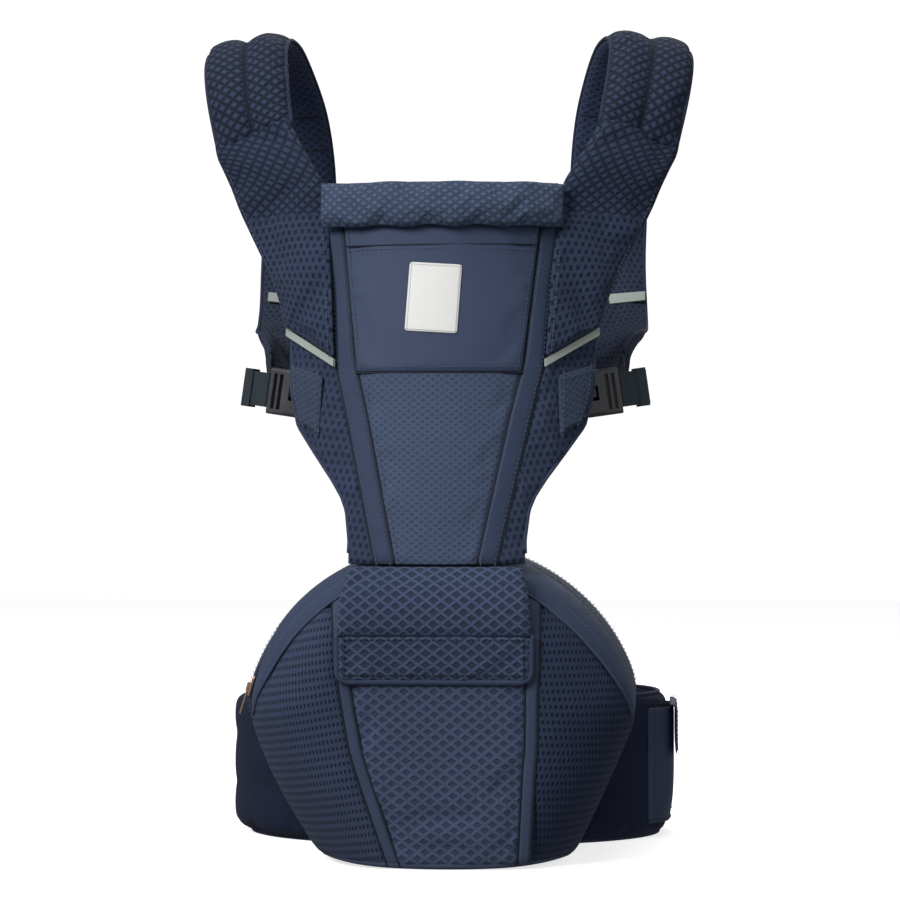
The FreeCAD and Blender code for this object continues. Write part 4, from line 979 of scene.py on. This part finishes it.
def front_flap():
    body = "front_flap"
    thick, clear, hinge_z, foot_z, corner = 6.0, 1.6, 205.0, 130.0, 7.0
    groove_z = 163.5
    centre_y, centre_z = SEAT_FRONT_Y + SEAT_ROUND, ARCH_Z + ARCH_R - SEAT_ROUND
    radius = SEAT_ROUND + clear + thick / 2
    rise = math.asin((hinge_z - centre_z) / radius)
    turns = np.linspace(rise + 0.14, 0, 13)
    arc = [(centre_y - radius * math.cos(a), centre_z + radius * math.sin(a)) for a in turns]
    drop = [(centre_y - radius, z) for z in np.linspace(centre_z, foot_z + 1, 24)[1:]]
    profile = np.array(arc + drop)
    half_at = table((foot_z, 67.5), (165, 68), (190, 66), (205, 62), (212, 60.5))
    above = np.clip(corner - (profile[:, 1] - foot_z - 1), 0, corner)
    half = half_at(profile[:, 1]) - corner + np.sqrt(corner**2 - above**2)
    grid = np.stack([xyz(a * half, profile[:, 0], profile[:, 1]) for a in np.linspace(-1, 1, 41)])
    groove = cloth_coordinates(grid)[0, :, 1][np.argmin(np.abs(profile[:, 1] - groove_z))]

    def sewn(cloth):
        return 1 - 0.75 * np.exp(-(((cloth[..., 1] - groove) / 2.0) ** 2))

    piece = pad("front_flap", grid, "quilt_flap", 3.2, 2.6, 1.4, 8, profile=sewn, outward=FRONT, middle=True,
                cap=0.9, crease=(60.0, 0.3))
    cushion(piece, body, ["front_flap"])
    first = int(np.argmin(np.abs(profile[:, 1] - groove_z)))
    edge = np.concatenate([grid[0, first:], grid[1:-1, -1], grid[-1, first:][::-1]])
    tube("flap_piping", edge + [0, -0.4, 0], 2.2, "band", body, sides=12)
    across = xyz(np.linspace(-67, 67, 40), centre_y - radius - 2.4, groove_z)
    tube("flap_groove", across, 0.9, "belt", body)
    face = centre_y - radius - 4.0
    out = np.array([0.0, -1.0, 0.0])
    box = [(-62.5, 136), (62.5, 136), (62.5, 160.5), (-62.5, 160.5), (-62.5, 136)]
    lines = []
    for (x0, z0), (x1, z1) in zip(box, box[1:]):
        spots = resample([(x0, face, z0), (x1, face, z1)], 3.0)
        lines.append((spots, np.broadcast_to(out, spots.shape)))
    stitches("flap_box_stitches", lines, body, "dark_thread", 3.9, 2.9, 1.0)


# ---------------------------------------------------------------- straps


def curve_through(points):
    """A smooth line through the points (Catmull-Rom), with eight steps between two of them."""
    p = np.asarray(points, float)
    p = np.concatenate([2 * p[:1] - p[1:2], p, 2 * p[-1:] - p[-2:-1]])
    out = []
    for a, b, c, d in zip(p, p[1:], p[2:], p[3:]):
        for t in np.linspace(0, 1, 8, endpoint=False):
            out.append(0.5 * (2 * b + (c - a) * t + (2 * a - 5 * b + 4 * c - d) * t**2
                              + (3 * b - a - 3 * c + d) * t**3))
    out.append(p[-2])
    return np.array(out)


def strap_grid(stations, across):
    """The middle surface of a strap through stations of (inner edge, outer edge), in rows 4 mm apart."""
    both = curve_through([np.concatenate([a, b]) for a, b in stations])
    middle = (both[:, :3] + both[:, 3:]) / 2
    run = run_along(middle)
    at = np.linspace(0, run[-1], int(run[-1] / 4.0) + 1)
    both = np.stack([np.interp(at, run, both[:, k]) for k in range(6)], 1)
    share = np.linspace(0, 1, across)[:, None, None]
    return both[None, :, :3] * (1 - share) + both[None, :, 3:] * share


def loop_sway(points, sign):
    """The strap loops hang a little to the left of their CAD place behind the panel, the left one more."""
    out = sided(points, sign)
    behind = smooth((out[..., 1] + 40) / 110) * smooth((out[..., 2] - 352) / 90)
    out[..., 0] -= (5.5 if sign < 0 else 2.5) * behind
    return out


def centred(centre, across, half):
    side = unit(np.array(across, float)) * half
    return np.array(centre, float) - side, np.array(centre, float) + side


YOKE = [
    ((75.5, -122, 358), (113, -89, 381)),
    ((78.7, -108, 410), (125, -76, 415)),
    ((81.7, -92, 448), (139, -66, 443)),
    ((83.4, -84, 468), (151, -58, 467)),
    ((87, -80, 486), (158, -53, 484)),
    ((97, -74, 503), (164.5, -50, 498)),
    ((112, -60, 530), (170, -46, 510)),
    ((115.5, -50, 547), (173, -41, 528)),
]
ARCH = [
    ((113.2, -59, 532), (167.6, -46, 508)),
    ((117, -46, 556), (176, -38, 545)),
    ((120, -30, 578), (180, -26, 568)),
    ((121, -12, 594), (181, -10, 583)),
    ((118, 12, 602), (179, 14, 591)),
    ((111, 40, 597), (172, 42, 587)),
    ((103, 68, 577), (165, 70, 570)),
    ((96, 88, 550), (157, 90, 547)),
    ((92, 101, 515), (151, 103, 513)),
    ((91, 111, 472), (148, 111, 474)),
]
END = [
    ((91.2, 109.5, 480), (148.4, 109.8, 481)),
    ((91.3, 111.5, 470), (148.3, 111, 472)),
    centred((120, 107, 448), (1, -0.03, 0), 27.5),
    centred((121, 96, 424), (1, -0.08, 0.03), 26.5),
    centred((122, 79, 401), (0.98, -0.12, 0.1), 26),
    centred((124, 54, 382), (0.93, -0.2, 0.25), 25),
    centred((127, 26, 370), (0.8, -0.2, 0.5), 24),
    centred((130, 0, 363), (0.55, -0.2, 0.75), 22),
    centred((131, -22, 358), (0.25, -0.2, 0.92), 18),
    centred((131, -38, 352), (-0.05, -0.3, 0.95), 13),
]


def two_channels(cloth):
    """A strap quilted down its middle."""
    across = cloth[..., 0] / cloth[..., 0].max(0)
    return 0.3 + 0.7 * np.abs(np.sin(across * math.pi)) ** 0.5


def straps():
    body = "body_panel"
    for side, sign in SIDES:
        yoke = sided(strap_grid(YOKE, 15), sign)
        piece = pad(f"shoulder_yoke_{side}", yoke, "yoke", 4.4, 3.2, 1.2, 9, outward=(0, -1, 0.2), cap=1.8,
                    crease=(46.0, 1.1))
        cushion(piece, body, [f"shoulder_yoke_{side}"])
        stitches(f"yoke_stitches_{side}", [grid_line(yoke, k, 3.2, (0, -1, 0.2)) for k in (0.06, 0.94)], body)
        arch = loop_sway(strap_grid(ARCH, 17), sign)
        piece = pad(f"shoulder_strap_{side}", arch, "scale", 7.0, 4.0, 1.5, 7, profile=two_channels,
                    outward=(0, 0, 1), cap=2.2, middle=True, crease=(38.0, 0.6))
        cushion(piece, body, [f"shoulder_strap_{side}"])
        for edge in (0, -1):
            tube(f"strap_binding_{side}_{-edge}", arch[edge], 1.5, "belt_edge", body)
        cloth = cloth_coordinates(arch)
        under = arch - facing(arch, (0, 0, 1)) * (2.0 + 3.4 * crown(cloth, 11))[..., None]
        piece = pad(f"strap_lining_{side}", under, "strap_under", 1.6, 1.2, 0.8, 5,
                    profile=lambda c: 0.4 + 0.6 * np.abs(np.sin(c[..., 1] / 28 * math.pi)) ** 0.5, outward=(0, 0, -1))
        sheet(piece, body, [f"strap_lining_{side}"])
        for row_at in (len(under[0]) * 7 // 10, len(under[0]) * 8 // 10):
            seam = under[1:-1, row_at] - facing(under, (0, 0, 1))[1:-1, row_at] * 1.0
            tube(f"strap_lining_seam_{side}_{row_at}", seam, 0.9, "dark_thread", body)
        end = loop_sway(strap_grid(END, 13), sign)
        piece = pad(f"strap_end_{side}", end, "end", 4.6, 3.6, 1.4, 9, outward=(0, -1, 0.4), cap=2.5,
                    crease=(44.0, 0.8))
        cushion(piece, body, [f"strap_end_{side}"])
        for edge in (0, -1):
            tube(f"end_binding_{side}_{-edge}", end[edge], 1.5, "belt_edge", body)


# ---------------------------------------------------------------- belt


def belt_point(angle, z, out):
    """angle 0 is the right-hand side as seen from the front, 90 degrees the back."""
    x = (BELT_A + out) * np.cos(angle)
    y = BELT_Y + (BELT_B + out) * np.sin(angle)
    return xyz(x, y, z)


def channels(cloth):
    return 0.8 + 0.2 * np.abs(np.sin(cloth[..., 1] / (BELT_TALL / 3) * math.pi)) ** 0.5


def belt():
    body = "hip_seat"
    first, last = -math.acos(101.0 / BELT_A), math.acos(46.0 / BELT_A)
    for side, sign in SIDES:
        angles, heights = np.meshgrid(np.linspace(first, last, 60), np.linspace(1.5, BELT_TALL - 1.5, 24),
                                      indexing="ij")
        grid = sided(belt_point(angles, heights, -BELT_THICK / 2), sign)
        swell = 12.5 if side == "left" else 5.4
        piece = pad(f"waist_belt_{side}", grid, "belt", swell, 6.4, 2.0, 12, profile=channels,
                    outward=(sign, 0.2, 0), cap=2.5, crease=(70.0, 0.6))
        cushion(piece, body, [f"waist_belt_{side}", "waist_belt_foam"])
        for edge, height in (("low", 1.5), ("high", BELT_TALL - 1.5)):
            line = sided(belt_point(np.linspace(first, last, 90), height, -BELT_THICK / 2 + 0.5), sign)
            tube(f"belt_binding_{side}_{edge}", line, 1.9, "belt_edge", body)
    grid = belt_point(np.linspace(-math.pi - first, first, 40)[:, None], np.linspace(1.5, BELT_TALL - 1.5, 20)[None],
                      -BELT_THICK / 2)
    piece = pad("belt_front_panel", grid, "lining", 6.4, 6.0, 2.0, 12, outward=FRONT, middle=True)
    cushion(piece, body, ["belt_front_panel", "belt_front_foam"])
    pouch(body)


def pouch(body):
    low, high, front, back, outer = 12.0, 98.0, 28.0, 108.0, 168.4
    y, z = np.meshgrid(np.linspace(front - 6, back + 6, 34), np.linspace(low, high, 26), indexing="ij")
    share = (y - front) / (back - front)
    belly = np.clip(1 - np.abs(2 * share - 1) ** 6, 0, 1) * np.clip(1 - ((high - z) / (high - low)) ** 8, 0.35, 1)
    wall = BELT_A * np.sqrt(1 - ((y - BELT_Y) / BELT_B) ** 2) + 1
    fold = 1 - 0.35 * np.exp(-(((y - 62 - 0.12 * (z - 50)) / 4.5) ** 2)) * np.clip((80 - z) / 50, 0, 1)
    x = wall + (outer - 1.4 - wall) * belly * fold
    grid = xyz(x, y, z)
    piece = pad("belt_pouch", grid, "pocket", 1.0, 1.0, 1.0, 4, outward=(1, 0, 0))
    sheet(piece, body, ["belt_pouch"])
    tube("pouch_piping", grid[:, 0], 1.5, "band", body)
    rims = [grid_line(grid, 0.08, 1.3, (1, 0, 0), turned=True), grid_line(grid, 0.93, 1.3, (1, 0, 0))]
    stitches("pouch_stitches", rims + [grid_line(grid, 0.07, 1.3, (1, 0, 0))], body)
    drop = resample([(164.6, 100.1), (166.4, 100.4), (168.2, 100.1), (169.0, 98.8), (169.3, 96), (169.3, 88),
                     (169.3, 76), (169.6, 63)], 3.2)
    ys = np.linspace(front - 1, back + 1, 26)
    grid = np.stack([xyz(drop[:, 0], v, drop[:, 1]) for v in ys])
    piece = pad("pouch_flap", grid, "pocket", 1.4, 0.8, 0.9, 4, outward=(1, 0, 0.2))
    sheet(piece, "pouch_flap", ["pouch_flap"])
    rims = [grid_line(grid, k, 1.2, (1, 0, 0.2)) for k in (0.04, 0.96)]
    rims.append(grid_line(grid, 0.92, 1.2, (1, 0, 0.2), turned=True))
    stitches("pouch_flap_stitches", rims, "pouch_flap")


# ---------------------------------------------------------------- carried-over CAD nodes


CAD_LOOKS = {
    "plastic": ["side_buckle_socket_left", "side_buckle_socket_right", "side_buckle_plug_left",
                "side_buckle_plug_right", "waist_buckle_socket", "waist_buckle_plug", "chest_buckle_socket",
                "chest_buckle_plug", "chest_strap_rails", "chest_strap_sliders"],
    "webbing": ["side_webbing_left", "side_webbing_right", "strap_end_webbing", "waist_webbing_left",
                "waist_webbing_right", "waist_webbing_anchors", "chest_webbing_left", "chest_webbing_right"],
    "silver": ["reflective_piping", "strap_reflectors"],
    "gold": ["zipper_slider", "zipper_pull"],
    "fuzz": ["seat_loop_tape", "flap_hook_tape"],
}


def dress_cad():
    for look, names in CAD_LOOKS.items():
        for name in names:
            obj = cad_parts[name]
            for slot in obj.material_slots:
                slot.material = MATERIALS[look]
            if look in ("plastic", "gold"):
                bevel = obj.modifiers.new("Bevel", "BEVEL")
                bevel.width = 0.0004
                bevel.segments = 2
                bevel.limit_method = "ANGLE"
                bevel.angle_limit = math.radians(40)


# ---------------------------------------------------------------- cloth simulation


def vertex_places(mesh):
    places = np.empty(len(mesh.vertices) * 3, np.float32)
    mesh.vertices.foreach_get("co", places)
    return places.reshape(-1, 3)


FRAMES = 20
CLOTH_SETTINGS = {
    "quality": 4, "mass": 0.25, "tension_stiffness": 12, "compression_stiffness": 12, "shear_stiffness": 4,
    "bending_stiffness": 0.4, "shrink_min": -0.04, "use_pressure": True, "uniform_pressure_force": 4.0,
    "vertex_group_mass": "held",
}


def inflate():
    """Blows every padded piece up a little, with its seams held, and keeps the result."""
    scene = bpy.context.scene
    scene.frame_start, scene.frame_end = 1, FRAMES
    for obj, free, _ in soft_pieces:
        obj.modifiers["Subdivision"].show_viewport = False
        group = obj.vertex_groups.new(name="held")
        for i, share in enumerate(free):
            if share < 0.98:
                group.add([i], float(1 - share), "REPLACE")
        cloth = obj.modifiers.new("Cloth", "CLOTH")
        for key, value in CLOTH_SETTINGS.items():
            setattr(cloth.settings, key, value)
        cloth.settings.effector_weights.gravity = 0
        cloth.point_cache.frame_start, cloth.point_cache.frame_end = 1, FRAMES
    for number in range(1, FRAMES + 1):
        scene.frame_set(number)
    depsgraph = bpy.context.evaluated_depsgraph_get()
    blown = {obj.name: vertex_places(obj.evaluated_get(depsgraph).data) for obj, _, _ in soft_pieces}
    for obj, _, cap in soft_pieces:
        rest = vertex_places(obj.data)
        step = blown[obj.name] - rest
        step *= np.minimum(1, cap * MM / np.maximum(np.linalg.norm(step, axis=1, keepdims=True), 1e-9))
        obj.data.vertices.foreach_set("co", (rest + step).ravel())
        obj.data.update()
        obj.modifiers.remove(obj.modifiers["Cloth"])
        obj.vertex_groups.clear()
        obj.modifiers["Subdivision"].show_viewport = True
    scene.frame_set(1)


# ---------------------------------------------------------------- stage


AMBIENT = 0.22
LIGHTS = [  # name, place and size in metres, power in watts
    ("key", (-1.5, -1.9, 1.7), 1.2, 56.0),
    ("fill", (1.7, -1.6, 0.9), 1.2, 5.0),
    ("top", (-0.1, -0.2, 2.3), 1.4, 15.0),
    ("back", (0.3, 2.0, 1.4), 1.4, 11.0),
]


def stage():
    half = 4.0
    mesh = bpy.data.meshes.new("floor")
    mesh.from_pydata([(-half, -half, 0), (half, -half, 0), (half, half, 0), (-half, half, 0)], [], [(0, 1, 2, 3)])
    floor = bpy.data.objects.new("floor", mesh)
    bpy.context.scene.collection.objects.link(floor)
    s = Shader("floor", 0.9, Specular_IOR_Level=0.1)
    s.principled.inputs["Emission Color"].default_value = (1.0, 1.0, 1.0, 1.0)
    s.principled.inputs["Emission Strength"].default_value = 0.72
    mesh.materials.append(s.finish(s.mix(s.noise(3.0), (0.9, 0.9, 0.9, 1), (0.94, 0.94, 0.94, 1))))
    floor.visible_diffuse = floor.visible_glossy = False

    # The room looks white, but lights the object only a little, so that the key light shapes it.
    world = bpy.data.worlds.new("studio")
    bpy.context.scene.world = world
    world.use_nodes = True
    nodes, links = world.node_tree.nodes, world.node_tree.links
    background = nodes["Background"]
    background.inputs["Color"].default_value = (1.0, 1.0, 1.0, 1.0)
    seen = nodes.new("ShaderNodeLightPath").outputs["Is Camera Ray"]
    strength = nodes.new("ShaderNodeMapRange")
    strength.inputs["To Min"].default_value = AMBIENT
    strength.inputs["To Max"].default_value = 1.05
    links.new(seen, strength.inputs["Value"])
    links.new(strength.outputs[0], background.inputs["Strength"])

    for name, place, size, power in LIGHTS:
        light = bpy.data.lights.new(name, "AREA")
        light.size = size
        light.energy = power
        obj = bpy.data.objects.new(name, light)
        obj.location = place
        aim = Vector((0, 0, 0.3)) - Vector(place)
        obj.rotation_euler = aim.to_track_quat("-Z", "Y").to_euler()
        bpy.context.scene.collection.objects.link(obj)
    bpy.context.scene.view_settings.view_transform = "Standard"


def camera():
    away, azimuth, height, view_width = 2.5, math.radians(3.5), 0.2925, 0.675
    data = bpy.data.cameras.new("camera")
    data.sensor_width = 36.0
    data.lens = data.sensor_width * away / view_width
    obj = bpy.data.objects.new("camera", data)
    target = Vector((0, 0, height))
    obj.location = target + Vector((math.sin(azimuth), -math.cos(azimuth), 0)) * away
    obj.rotation_euler = (target - obj.location).to_track_quat("-Z", "Y").to_euler()
    bpy.context.scene.collection.objects.link(obj)
    bpy.context.scene.camera = obj


camera()
stage()
hip_seat()
belt()
body_panel()
front_flap()
straps()
dress_cad()
inflate()
